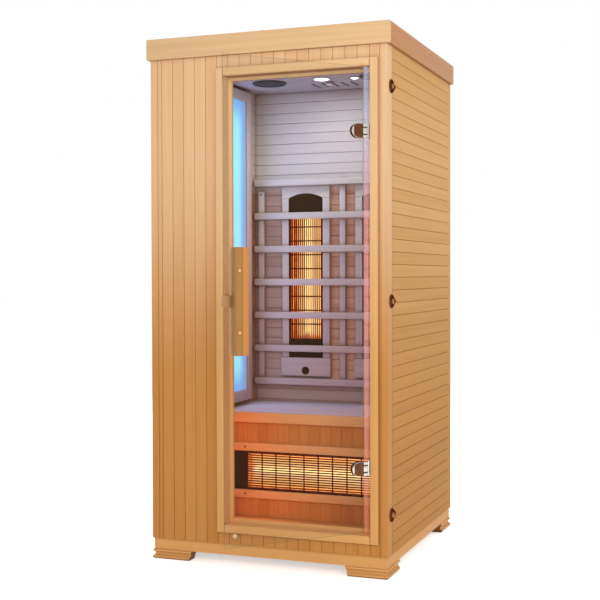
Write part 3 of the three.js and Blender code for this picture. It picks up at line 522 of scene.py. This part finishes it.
def heater_inside(name, run, lean):
    """Reflector, tube and grille of one heater, lofted along its run, the axis of its length.

    The reflector is a thin half ellipse, 64 mm to each side and 29 mm deep, with a flat flange each
    side, carried along the trough and shut by a plate at each end. The tube is a circle, and the
    grille is 16 long wires welded 3 mm into 8 cross wires, each an octagon carried straight.
    Point attributes give the distance from the brightest line of the painted reflection, which
    leans from the tube to the side that mirrors it at the door, and the distance from the nearer
    end, both as shares.
    """
    wide = 2 - run
    tube_low, tube_high = np.array(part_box(name + "_element"))
    low, high = np.array(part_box(name + "_grille"))
    middle, half = (tube_low + tube_high) / 2, (tube_high - tube_low) / 2
    share = np.linspace(-1, 1, 25)
    along, from_end = middle[run] + half[run] * share, 1 - np.abs(share)

    def carried(width, depth, places, run=run):
        """Rings of one section, given as its widths and depths, at places along a run."""
        rings = np.zeros((len(places), len(width), 3))
        rings[..., 2 - run], rings[..., 1] = width, depth
        rings[..., run] = np.array(places)[:, None]
        return rings

    def set_shares(piece, **shares):
        """Stores shares of every point for the colours of the painted reflection."""
        for key, values in shares.items():
            attribute = piece.data.attributes.new(key, "FLOAT", "POINT")
            attribute.data.foreach_set("value", values.astype(np.float32))

    trough_half, trough_depth, sheet, play, seat = 0.0642, 0.0292, 0.0006, 0.0001, 0.0003
    bow = np.linspace(0, np.pi, 33)
    flange, ledge = high[wide] - middle[wide] - seat, high[1] + seat
    width = np.concatenate([[flange], trough_half * np.cos(bow), [-flange, -flange],
                            (trough_half - sheet) * np.cos(bow[::-1]), [flange]])
    depth = np.concatenate([[0], trough_depth * np.sin(bow), [0, -sheet],
                            (trough_depth - sheet) * np.sin(bow[::-1]) - sheet, [-sheet]]) - play
    inset = sheet + 2 * play
    end_width = (trough_half - inset) * np.cos(bow)
    end_depth = (trough_depth - inset) * np.sin(bow) - inset
    stacks = [carried(middle[wide] + width, ledge + depth, along)]
    for end in (along[0], along[-1] - sheet):
        stacks.append(carried(middle[wide] + end_width, ledge + end_depth, (end, end + sheet)))
    reflector = loft(name + "_reflector", stacks, reflector_finish)
    end_share = 0.03
    set_shares(
        reflector,
        across=np.concatenate([np.tile(np.abs(width - lean), len(share)),
                               np.tile(np.abs(end_width), 4)]) / flange,
        along=np.concatenate([np.repeat(from_end, len(width)), np.full(4 * len(bow), end_share)]))

    circle = np.linspace(0, 2 * np.pi, 24, endpoint=False)
    tube = loft(name + "_tube", [carried(
        middle[wide] + half[1] * np.cos(circle), middle[1] + half[1] * np.sin(circle), along)],
        tube_finish, name + "_element")
    set_shares(tube, along=np.repeat(from_end, len(circle)))

    octagon = np.linspace(0, 2 * np.pi, 8, endpoint=False)
    thin, thick, weld, overhang = 0.0026, 0.0028, 0.0027, 0.062
    wires = []
    for axis, radius, margin, count, level in (
            (run, thin, thin, 16, high[1] - 2 * thick - thin + weld),
            (wide, thick, overhang, 8, high[1] - thick)):
        for offset in np.linspace(low[2 - axis] + margin, high[2 - axis] - margin, count):
            wires.append(carried(offset + radius * np.cos(octagon),
                                 level + radius * np.sin(octagon), (low[axis], high[axis]), axis))
    loft(name + "_wires", wires, wire_finish, name + "_grille")


back_lean = 0.016
for name, run, lean in (("back_heater_left", 2, back_lean), ("back_heater_right", 2, back_lean),
                        ("leg_heater", 0, 0)):
    dress(powder_coat, name + "_housing")
    heater_inside(name, run, lean)

# Heater surrounds: two hemlock stiles and a head board sawn to an arch round each back heater, on a
# terminal box with a rubber grommet over its cable hole. All are screwed to the back wall.
half_outer, fit_gap, arch_rise, sawn_ease = 0.1075, 0.0003, 0.020, 0.0015
box_height, box_proud, box_ease, grommet_rise = 0.079, 0.005, 0.002, 0.024
grommet_profile = np.array([
    (0.4, -1.2), (11, -1.2), (13, -0.6), (14.5, -1.4), (16.4, -1.4), (17, -0.6), (17, 0.6),
    (0.4, 0.6)]) / 1000
for side in ("left", "right"):
    name = "back_heater_%s_surround" % side
    low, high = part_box(name)
    housing_low, housing_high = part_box("back_heater_%s_housing" % side)
    middle, opening = (low.x + high.x) / 2, (housing_high.x - housing_low.x) / 2 + fit_gap
    front, back, spring = low.y + box_proud, high.y, housing_high.z - arch_rise
    box_top = low.z + box_height
    stiles = [board((middle + start, front, box_top), (middle + end, back, spring - joint), 2,
                    sawn_ease) for start, end in ((-half_outer, -opening), (opening, half_outer))]
    loft(name + "_stiles", stiles, inner_z, name)

    # The arch rises as a circle through its two springs: sqrt(R^2 - x^2) - (R - rise).
    curve = (opening ** 2 + arch_rise ** 2) / (2 * arch_rise)
    x = np.concatenate([[-half_outer], np.linspace(-opening, opening, 33), [half_outer]])[:, None]
    arch = np.sqrt(curve ** 2 - np.minimum(np.abs(x), opening) ** 2) - (curve - arch_rise)
    at_top = np.array([False, True, True, True, True, False, False, False])
    head = np.zeros((len(x), 8, 3))
    head[..., 0] = middle + x
    head[..., 1] = (front, front, front + sawn_ease, back - sawn_ease, back, back,
                    back - sawn_ease, front + sawn_ease)
    head[..., 2] = np.where(at_top, high.z, spring + arch)
    head[..., 2] += sawn_ease * np.array([1, -1, 0, 0, -1, 1, 0, 0])
    loft(name + "_head", [head], inner_x, name)

    terminal = board(low, (high.x, back, box_top - joint), 0, box_ease)
    loft(name + "_terminal", [terminal], inner_x, name)
    grommet = turned(grommet_profile, (middle, low.y, low.z + grommet_rise), 1, 32)
    loft("cable_grommet_" + side, [grommet], powder_coat)

# Backrest: seven level slats with eased edges, screwed to three upright battens on the back wall.
# The outer battens stop short of the top slat, and each shows a screw just below its end.
rest_low, rest_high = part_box("backrest")
slat_height, slat_thickness, slat_pitch, slat_ease = 0.028, 0.020, 0.142, 0.003
slats = [board((rest_low.x, rest_low.y, z),
               (rest_high.x, rest_low.y + slat_thickness, z + slat_height), 0, slat_ease)
         for z in rest_low.z + slat_pitch * np.arange(7)]
loft("backrest_slats", slats, inner_x, "backrest")
batten_width, batten_inset, batten_ease, side_drop, screw_drop = 0.024, 0.025, 0.002, 0.020, 0.014
batten_face, side_top = rest_low.y + slat_thickness, rest_high.z - slat_height - side_drop
side_battens = (rest_low.x + batten_inset, rest_high.x - batten_inset)
battens = [board((x - batten_width / 2, batten_face, rest_low.z),
                 (x + batten_width / 2, rest_high.y, top), 2, batten_ease)
           for x, top in zip((side_battens[0], 0, side_battens[1]),
                             (side_top, rest_high.z, side_top))]
loft("backrest_battens", battens, inner_z, "backrest")
batten_screws = [turned(screw_profile, (x, batten_face, side_top - screw_drop), 1, screw_points)
                 for x in side_battens]
loft("batten_screws", batten_screws, screw_steel)

# Colour light: a frame of four hemlock boards on the left wall round an opal acrylic sheet, lit
# from behind by strips of blue diodes along its long edges.
frame_width, frame_ease = 0.044, 0.003
four_boards("light_frame", "light_frame_", ("front", "rear", "foot", "head"), frame_width, 2, 1,
            frame_ease, (inner_z, inner_y))

opal, add, shader, place = new_finish("opal_acrylic_lit_blue")
# Opal acrylic lit from behind: pale cyan along the middle of the sheet, clear blue towards its
# sides and ends, and a dull blue grey beside the frame.
low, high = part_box("light_diffuser")
half, dim_end = (high - low) / 2, 0.11
away = add("VectorMath", {0: place, 1: (low + high) / 2}, operation="SUBTRACT")
away = add("VectorMath", {0: away}, operation="ABSOLUTE")
away = add("SeparateXYZ", {0: away}).outputs
core = add("MapRange", {0: away[1], 1: half.y, 2: 0.2 * half.y}, interpolation_type="SMOOTHSTEP")
ends = add("MapRange", {0: away[2], 1: half.z, 2: half.z - dim_end, 3: 0.4},
           interpolation_type="SMOOTHSTEP")
share = add("Math", {0: core, 1: ends}, operation="MULTIPLY")
glow = add("ValToRGB", {0: share}, {0: "#8894ba", 0.4: "#6cacf2", 1: "#96f0ff"})
feed(shader, {"Emission Color": glow, "Emission Strength": 0.85, "Base Color": "#6f8aa8",
              "Roughness": 0.4})
dress(opal, "light_diffuser")

# Control panel: a moulded plastic box on the inside of the front wall, with a dark display window
# and a row of push buttons.

# Moulded ABS: light grey with the fine spark texture of the mould, drawn 1.5 mm wide.
panel_plastic = mottled("moulded_grey_abs", 650, 1, {
    "Base Color": "#d9d9d6", "Roughness": (0.45, 0.6)}, relief=(0.25, 0.0002))
dress(panel_plastic, "control_panel")
low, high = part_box("control_panel")
window_side, window_top, window_bottom, window_ease = 0.020, 0.016, 0.048, 0.0007
window_sunk, window_proud = 0.001, 0.0008
display = board((low.x + window_side, high.y - window_sunk, high.z - window_bottom),
                (high.x - window_side, high.y + window_proud, high.z - window_top), 0, window_ease)
loft("control_display", [display], powder_coat)
button_profile = np.array([
    (0.4, 2.2), (4, 2.1), (5.4, 1.5), (5.8, 0.4), (5.8, -1), (0.4, -1)]) / 1000
button_side, button_rise = 0.026, 0.020
buttons = [turned(button_profile, (x, high.y, low.z + button_rise), 1, 24)
           for x in np.linspace(low.x + button_side, high.x - button_side, 4)]
loft("control_buttons", buttons, panel_plastic)

# Door surround: a casing of four eased hemlock boards, the stiles running full height and the rails
# butted between them, nailed round a jamb frame with a stop at its inner edge.
casing_width, casing_ease = 0.029, 0.003
four_boards("door_casing", "casing_", ("left", "right", "sill", "head"), casing_width, 2, 0,
            casing_ease, (wood_z, wood_x), joint)
# The jamb is paler than the casing, painted light where the lamps reach into the reveal, and its
# faces that turn down are darker, painted shade.
jamb = (("#f2d2a6", "#e2b380"), ("#e6b478", "#d69a5a"))
shaded_underside = ("#b88c5c", "#946536")
dress(hemlock("hemlock_jamb", jamb, 2, inside=(2, -1, shaded_underside, lining_levels), corner_shade=0),
      "door_stop")

# Moulded nylon case round the magnet: wood brown and matt, with faint flow marks 4 mm wide.
dress(mottled("brown_moulded_nylon", 250, 2, {
    "Base Color": ("#8d6238", "#a37748"), "Roughness": 0.55}), "door_magnet")

# Wooden peg: a small turned rest on the front wall below the casing, of the palest hemlock, glued
# into the wall by its stem.
pale_wood = hemlock("pale_hemlock_turned", ("#ecd0a0", "#d9b27c"), 1)
peg_x, peg_z = -0.115, 0.109
peg_profile = np.array([
    (0.3, -15), (5, -14.6), (8.6, -13), (9.8, -10.5), (9, -8), (6, -5.5), (5.4, -3), (7, -1),
    (7.4, 1), (0.3, 1)]) / 1000
loft("door_peg", [turned(peg_profile, (peg_x, wall_low.y, peg_z), 1, 24)], pale_wood)

# Glass door: one sheet of 8 mm toughened float glass with ground edges, hung on two hinges at the
# right-hand jamb. At rest it stands half open.
door_hinge = next(item for item in frame["joints"] if item["name"] == "door_hinge")
hinge_x, hinge_y, _ = door_hinge["pos_m"]
open_angle = np.radians(47.5)


def on_door(points):
    """Carries points of the shut door to the open one.

    Points are given as the distance from the hinge line to the free edge, the distance out of the
    middle of the glass, and the height. They turn with the door about the hinge line.
    """
    reach, out, height = np.moveaxis(np.asarray(points, float), -1, 0)
    return np.stack([
        hinge_x - reach * np.cos(open_angle) + out * np.sin(open_angle),
        hinge_y - reach * np.sin(open_angle) - out * np.cos(open_angle),
        height], axis=-1)


glass_finish, add, shader, place = new_finish("toughened_float_glass")
# Clear float glass: what is behind shows through, with a clear reflection that grows at a slant by
# the law 0.043 + 0.957 (1 - cos)^5. The ground edges are frosted and pale green.
out_of_glass = (np.sin(open_angle), -np.cos(open_angle), 0)
facing = add("VectorMath", {0: place.node.outputs["Normal"], 1: out_of_glass},
             operation="DOT_PRODUCT")
facing = add("Math", {0: facing}, operation="ABSOLUTE")
at_edge = add("Math", {0: facing, 1: 0.5}, operation="LESS_THAN")
smear = add("TexNoise", {"Vector": place, "Scale": 6.0})
gloss = add("MapRange", {0: smear, 4: 0.03})
clear = add("BsdfTransparent", {"Color": (0.988, 0.995, 0.99, 1)})
mirror = add("BsdfGlossy", {"Color": "#4c504e", "Roughness": gloss})
slant = add("LayerWeight", {"Blend": 0.5}).outputs["Facing"]
slant = add("Math", {0: slant, 1: 5.0}, operation="POWER")
slant = add("Math", {0: slant, 1: 0.957, 2: 0.043}, operation="MULTIPLY_ADD")
pane = add("MixShader", {0: slant, 1: clear, 2: mirror})
feed(shader, {"Base Color": "#93a198", "Roughness": 0.35})
ground = add("BsdfTransparent", {"Color": "#edf0ec"})
ground = add("MixShader", {0: 0.15, 1: ground, 2: shader})
whole = add("MixShader", {0: at_edge, 1: pane, 2: ground})
feed(glass_finish.node_tree.nodes["Material Output"], {"Surface": whole})
dress(glass_finish, "door_glass")

# Door seal: a soft clear strip of extruded PVC pushed over the hinge edge of the glass, with a thin
# lip that closes the gap to the jamb. It is cut out at the hinges.
seal_finish, add, shader, place = new_finish("clear_soft_pvc")
# Extruded clear PVC: milky and glossy, with painted light along its edge, the colours of the lights
# inside: orange at the bottom, pink beside the heaters and lavender at the top.
haze = add("TexNoise", {"Vector": place, "Scale": 40.0})
milk = add("MapRange", {0: haze, 3: 0.33, 4: 0.37})
height = add("SeparateXYZ", {0: place}).outputs[2]
height = add("MapRange", {0: height, 1: 0.2, 2: 1.6})
# Painted light: the colours of the lights inside, by height.
painted_light_tint = add("ValToRGB", {0: height}, {0: "#e98f62", 0.45: "#f0b4b2", 0.78: "#ecb4bc", 1: "#c4cae6"})
feed(shader, {"Base Color": painted_light_tint, "Roughness": 0.25, "Alpha": milk})

glass_low, glass_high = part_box("door_glass")
seal_low, seal_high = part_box("door_seal")
hinge_zone, end_ease = 0.0555, 0.001
lip = np.array([(17.7, -1.5), (17.7, 1.5), (4, 1.2), (-3, 0.9), (-4, 0), (-3, -0.9),
                (4, -1.2)]) / 1000
strips = []
for bottom, top in ((glass_low.z, seal_low.z - hinge_zone), (seal_low.z, seal_high.z),
                    (seal_high.z + hinge_zone, glass_high.z)):
    strip = np.zeros((4, len(lip), 3))
    strip[..., :2] = lip
    strip[..., 2] = np.array([bottom, bottom + end_ease, top - end_ease, top])[:, None]
    strips.append(on_door(strip))
loft("door_seal_strip", strips, seal_finish, "door_seal", "door")

# Door handles: a long solid hemlock pull outside with one slanted side, and a flat one inside, held
# together by two bolts through the glass whose heads are hidden under wooden plugs.


def rounded(corners, radius, steps):
    """Outline with its corners eased: at each corner a parabola runs from one side to the next.

    It starts and ends one radius from the corner: (1-t)^2 a + 2 t (1-t) corner + t^2 b.
    """
    corners = np.array(corners, float)
    towards = np.roll(corners, -1, axis=0) - corners
    towards /= np.linalg.norm(towards, axis=1, keepdims=True)
    before = (corners - radius * np.roll(towards, 1, axis=0))[:, None]
    after = (corners + radius * towards)[:, None]
    t = np.linspace(0, 1, steps)[None, :, None]
    curve = (1 - t) ** 2 * before + 2 * t * (1 - t) * corners[:, None] + t ** 2 * after
    return curve.reshape(-1, 2)


handle_low, handle_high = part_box("handle_outer")
free_edge, face_edge, heel_edge = 0.506, 0.481, 0.452
on_glass, proud, heel, pull_ease, ease_steps = 0.0043, 0.0323, 0.0143, 0.0025, 5
pull = rounded([(free_edge, on_glass), (free_edge, proud), (face_edge, proud), (heel_edge, heel),
                (heel_edge, on_glass)], pull_ease, ease_steps)
pull_middle = pull.mean(axis=0)
end_rise = np.array([0, 0.0007, pull_ease])
end_scale = np.array([0.90, 0.97, 1, 1, 0.97, 0.90])[:, None, None]
pull_rings = np.zeros((6, len(pull), 3))
pull_rings[..., :2] = pull_middle + end_scale * (pull - pull_middle)
pull_rings[..., 2] = np.concatenate([
    handle_low.z + end_rise, handle_high.z - end_rise[::-1]])[:, None]
# One hemlock in two tones: the face painted darker, painted shade, and the slanted side lighter and
# more orange, painted light from the right.
shaded_face_wood = hemlock("hemlock_handle_face", ("#b48750", "#8f622f"), 2, corner_shade=0)
lit_slant_wood = hemlock("hemlock_handle_slant", ("#d89a58", "#c07e3c"), 2, corner_shade=0)
handle = loft("handle_outer_pull", [on_door(pull_rings)], shaded_face_wood, "handle_outer", "door")
# The slanted side goes from the last step of the third corner to the last step of the fourth.
steps_round = np.arange(len(pull))
slanted = (steps_round >= 3 * ease_steps - 1) & (steps_round < 4 * ease_steps)
paint(handle, [lit_slant_wood], np.concatenate([np.tile(slanted, 5), [False, False]]))
dress(hemlock("hemlock_inner_handle", trim, 2, corner_shade=0), "handle_inner")

plug_reach, plug_heights = 0.4935, (0.857, 1.056)
plug_profile = np.array([
    (0.3, 8), (2.6, 7.7), (4.8, 6.6), (5.8, 5), (5.4, 3.4), (3.8, 2.2), (3.8, -2),
    (0.3, -2)]) / 1000
plugs = [on_door(turned(plug_profile, (plug_reach, proud, height), 1, 24))
         for height in plug_heights]
loft("handle_plugs", plugs, wood_y, body="door")

# Door catch: a folded brass strike, clamped on the edge of the glass, that meets a magnet on the
# jamb when the door is shut.
brass, add, shader, place = new_finish("brushed_brass")
# Brushed brass: warm yellow metal with fine lines along the strike, drawn 1 mm apart.
lines = add("VectorMath", {0: place, 1: (40, 40, 1000)}, operation="MULTIPLY")
brush = add("TexNoise", {"Vector": lines, "Scale": 1.0, "Detail": 1.0})
gloss = add("MapRange", {0: brush, 3: 0.3, 4: 0.5})
feed(shader, {"Base Color": "#b48a5c", "Roughness": gloss, "Metallic": 1.0})
dress(brass, "door_strike")

# Glass hinges: a half-round clamp on each face of the glass with a smoked cover on it, a block of
# three knuckles beside it, a leaf screwed to the jamb, and a steel pin through their barrels. All
# are chromed.

# Bright chrome plate: a mirror with very faint polishing haze.
chrome = mottled("polished_chrome", 120, 2, {
    "Base Color": "#d3cfc8", "Roughness": (0.06, 0.16), "Metallic": 1.0})
# Smoked plate on the clamp's cover: brown and bright, slightly clouded.
smoked = mottled("smoked_chrome_cover", 60, 2, {
    "Base Color": ("#5c3520", "#784a30"), "Metallic": 0.9, "Roughness": 0.22})


def plate_rings(inner, reach, radius, steps, height, end=None):
    """Rings of a half-round plate on the door: a straight side and a half circle.

    Each step is (inset, distance out of the middle of the glass). The half circle has the radius
    less the inset, round the point reach - radius from the hinge. Past the end line, if there is
    one, the outline is cut off straight, at cos t = (end - inset - centre) / radius.
    """
    inset, out = steps.T[:, :, None]
    angle = np.linspace(-np.pi / 2, np.pi / 2, 25)
    centre, radius = reach - radius, radius - inset
    if end:
        just_short = 0.999
        angle, limit = just_short * angle, np.arccos((end - inset - centre) / radius)
        angle = np.where(angle < 0, np.minimum(angle, -limit), np.maximum(angle, limit))
    side = inner + inset
    across = np.concatenate([centre + radius * np.cos(angle), side, side], axis=1)
    up = np.concatenate([radius * np.sin(angle), radius, -radius], axis=1)
    return on_door(np.stack(np.broadcast_arrays(across, out, height + up), axis=-1))


clamp_steps = np.array([(0, 4.1), (0, 8.2), (0.4, 9.2), (1.2, 9.8), (2.4, 10)]) / 1000
cover_steps = np.array([(0.2, 9.6), (0, 10), (0.3, 10.3), (1, 10.4)]) / 1000
barrel = np.array([(2.8, -11.6), (5.4, -11.6), (5.8, -11.2), (5.8, 11.2), (5.4, 11.6),
                   (2.8, 11.6)]) / 1000
clamp_start, clamp_end, clamp_radius, cover_end, cover_inset = 0.024, 0.066, 0.024, 0.060, 0.001
knuckle_start, knuckle_half, knuckle_gap, knuckle_ease = 0.0068, 0.0102, 0.0004, 0.0018
knuckle_spans = ((-0.024, -0.0135), (-0.0105, 0.0105), (0.0135, 0.024))
core_inset, core_half, core_height, core_ease = 0.001, 0.0085, 0.022, 0.0005
for level in ("lower", "upper"):
    middle = np.mean(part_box("hinge_clamp_" + level), axis=0)[2]
    # A dark block inside the knuckles, so that the gaps between them show dark: painted shade.
    core = board((knuckle_start + core_inset, -core_half, middle - core_height),
                 (clamp_start - core_inset, core_half, middle + core_height), 2, core_ease)
    loft("hinge_core_" + level, [on_door(core)], powder_coat, body="door")
    plates = [plate_rings(clamp_start, clamp_end, clamp_radius, clamp_steps * (1, face), middle)
              for face in (1, -1)]
    knuckles = [on_door(board(
        (knuckle_start, -knuckle_half, middle + bottom),
        (clamp_start - knuckle_gap, knuckle_half, middle + top), 2, knuckle_ease))
        for bottom, top in knuckle_spans]
    loft("hinge_clamp_%s_plates" % level,
         [*plates, *knuckles, turned(barrel, (hinge_x, hinge_y, middle), 2, 24)],
         chrome, "hinge_clamp_" + level, "door")
    covers = [plate_rings(clamp_start + cover_inset, clamp_end - cover_inset,
                          clamp_radius - cover_inset, cover_steps * (1, face), middle, cover_end)
              for face in (1, -1)]
    loft("hinge_cover_" + level, covers, smoked, body="door")
    dress(chrome, "hinge_leaf_" + level, "hinge_pin_" + level)

# Turn latches: three on each side, a cast cam on the edge of the front wall that turns over the
# side wall to lock the two panels, with a domed button at its pivot and a knob at its tip.
bronze, add, shader, place = new_finish("antique_bronze_casting")
# Antique bronze: cast zinc plated brown, darker in the hollows and brighter on the high spots,
# those that stand farthest out of the wall: patina and rubbed wear, with a painted highlight
# on the high spots.
hollows, high_spots = 0.0046, 0.0105
side_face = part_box("latch_right_top")[0].x
age = add("TexNoise", {"Vector": place, "Scale": 150.0, "Detail": 3.0})
proudness = add("SeparateXYZ", {0: place}).outputs[0]
proudness = add("Math", {0: proudness}, operation="ABSOLUTE")
# Wear and a painted highlight: brighter the farther a spot stands out of the wall.
wear_and_highlight = add("MapRange", {0: proudness, 1: side_face + hollows, 2: side_face + high_spots})
wear_and_highlight = add("Math", {0: age, 1: 0.4, 2: wear_and_highlight}, operation="MULTIPLY_ADD", use_clamp=True)
feed(shader, {
    "Base Color": add("Mix", {0: wear_and_highlight, 6: "#3c1806", 7: "#b88660"}, data_type="RGBA"),
    "Roughness": add("MapRange", {0: age, 3: 0.45, 4: 0.25}),
    "Metallic": 1.0, "Specular Tint": "#8a5228"})

# The cam's outline is a round end and a small round tip, both less the inset of each step. The two
# arcs end where the straight sides touch them, at cos t = (large - small) / reach.
cam_large, cam_small, cam_reach = 0.023, 0.008, 0.028
cam_steps = np.array([(0.5, 0.0), (0, 0.5), (0, 3), (0.5, 4.2), (1.6, 4.9), (3, 5)]) / 1000
inset, cam_out = cam_steps.T[:, :, None]
spread = np.arccos((cam_large - cam_small) / cam_reach)
angle = np.concatenate([np.linspace(spread, 2 * np.pi - spread, 33),
                        np.linspace(-spread, spread, 15)])
at_tip = np.arange(len(angle)) >= 33
radius = np.where(at_tip, cam_small, cam_large) - inset
cam_back, cam_up = at_tip * cam_reach + radius * np.cos(angle), radius * np.sin(angle)
button = np.array([
    (12.5, 4.4), (12.5, 5.6), (11.2, 6.4), (9.6, 6.2), (9.2, 7), (8.6, 8.8), (6.6, 10.2),
    (3.6, 10.8), (0.4, 11)]) / 1000
knob = np.array([
    (3, 4), (3, 6), (5, 7.4), (5.6, 8.8), (4.6, 10.2), (2.4, 10.8), (0.3, 10.9)]) / 1000
for side, sign in (("left", -1), ("right", 1)):
    for level in ("bottom", "middle", "top"):
        name = "latch_%s_%s" % (side, level)
        low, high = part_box(name)
        wall_face = low.x if sign > 0 else high.x
        pivot_y, pivot_z = low.y + cam_large, (low.z + high.z) / 2
        cam = np.stack(np.broadcast_arrays(
            wall_face + sign * cam_out, pivot_y + cam_back, pivot_z + cam_up), axis=-1)
        stacks = [cam, turned(button * (1, sign), (wall_face, pivot_y, pivot_z), 0, 32),
                  turned(knob * (1, sign), (wall_face, pivot_y + cam_reach, pivot_z), 0, 20)]
        loft(name + "_cast", stacks, bronze, name, name)

# Stage: a plain white paper floor under soft studio light, with the cabin's own lamps switched on.
# Both the floor and the sky are white to the eye, and give less light than they show.


def seen_directly(add):
    """1 for a ray from the camera, also by way of gloss or glass, and 0 for one that lights."""
    path = add("LightPath").outputs
    seen = add("Math", {0: path["Is Camera Ray"], 1: path["Is Glossy Ray"]}, operation="MAXIMUM")
    return add("Math", {0: seen, 1: path["Is Transmission Ray"]}, operation="MAXIMUM")


# Matt white paper: no gloss, very slightly uneven.
paper = mottled("white_paper_floor", 2, 2, {
    "Base Color": ("#fbfbfb", "#ffffff"), "Emission Color": "#ffffff", "Roughness": 1.0,
    "Specular IOR Level": 0.0})
paper_glow, sky_light, floor_half = 0.53, 0.5, 30.0
add = partial(add_node, paper.node_tree)
glow = add("Math", {0: seen_directly(add), 1: paper_glow}, operation="MULTIPLY")
feed(paper.node_tree.nodes["Principled BSDF"], {"Emission Strength": glow})
stage = bpy.data.meshes.new("stage_floor")
corners = floor_half * np.array([(-1, -1, 0), (1, -1, 0), (1, 1, 0), (-1, 1, 0)])
stage.from_pydata(corners, [], [(0, 1, 2, 3)])
stage.materials.append(paper)
floor = bpy.data.objects.new("stage_floor", stage)
bpy.context.scene.collection.objects.link(floor)

world = bpy.data.worlds.new("studio")
bpy.context.scene.world = world
world.use_nodes = True
add = partial(add_node, world.node_tree)
glow = add("MapRange", {0: seen_directly(add), 3: sky_light})
feed(world.node_tree.nodes["Background"], {"Color": "#ffffff", "Strength": glow})


def lamp(name, place, aim, size, power, colour):
    """A soft rectangular lamp at a place, turned to face an aim point."""
    light = bpy.data.lights.new(name, "AREA")
    light.shape = "RECTANGLE"
    light.size, light.size_y = size
    light.energy, light.color = power, colour
    holder = bpy.data.objects.new(name, light)
    bpy.context.scene.collection.objects.link(holder)
    holder.location = place
    direction = np.array(aim, float) - np.array(place, float)
    direction /= np.linalg.norm(direction)
    holder.rotation_euler = (np.arccos(-direction[2]), 0, np.arctan2(-direction[0], direction[1]))
    holder.visible_camera = False
    holder.visible_glossy = False


cabin_middle, warm_white = (0, 0, 1.0), (1, 0.97, 0.93)
lamp("key_light", (2.0, -4.4, 2.2), cabin_middle, (3.0, 2.6), 122, warm_white)
lamp("side_light", (3.6, 1.6, 2.6), cabin_middle, (2.4, 2.4), 38, (1, 0.95, 0.88))
lamp("back_light", (-3.2, 3.8, 2.8), cabin_middle, (2.4, 2.4), 70, warm_white)

low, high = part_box("downlight")
x, y = (low.x + high.x) / 2, (low.y + high.y) / 2
lamp("downlight_beam", (x, y, low.z - 0.004), (x, y, 0), (0.06, 0.06), 1.85, (0.82, 0.9, 1))
low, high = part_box("light_diffuser")
y, z = (low.y + high.y) / 2, (low.z + high.z) / 2
lamp("colour_light_beam", (high.x + 0.006, y, z), (1, y, z), (high.y - low.y, high.z - low.z), 1.9,
     (0.4, 0.5, 1))

# The heaters' beams start just before their grilles. The other lamps stand for their light that
# comes back off the wood, on the left wall and on the back wall.
low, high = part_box("leg_heater_grille")
x, z = -0.2, (low.z + high.z) / 2
lamp("leg_heater_beam", (x, low.y - 0.014, z), (x, -2, z), (0.2, 0.12), 1.5, (1, 0.36, 0.1))
lamp("left_wall_glow", (-0.36, -0.02, 0.44), (-0.15, 0.2, 0.44), (0.12, 0.2), 0.2, (1, 0.26, 0.05))
wall_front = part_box("back_heater_left_surround")[1].y
for side, glow_x in (("left", -0.036), ("right", 0.036)):
    low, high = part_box("back_heater_%s_grille" % side)
    x, z = (low.x + high.x) / 2, (low.z + high.z) / 2
    lamp("back_heater_beam_" + side, (x, low.y - 0.012, z), (x, -2, z), (0.12, high.z - low.z), 0.9,
         (1, 0.36, 0.24))
    lamp("back_wall_glow_" + side, (glow_x, wall_front - 0.006, 1.0), (glow_x, 2, 1.0),
         (0.036, 0.84), 0.022, (1, 0.4, 0.1))

# Camera: a 69 mm lens on a 36 mm frame, at chest height to the right of the door and 4.3 m from the
# middle of the cabin.
view = bpy.data.cameras.new("camera")
view.sensor_width = 36.0
view.lens = 68.765
view.shift_y = -0.0057
camera = bpy.data.objects.new("camera", view)
camera.location = (1.5510, -4.0082, 1.0412)
camera.rotation_euler = np.radians((88.9239, 0.1508, 20.7809))
bpy.context.scene.collection.objects.link(camera)
bpy.context.scene.camera = camera
bpy.context.scene.view_settings.view_transform = "Standard"
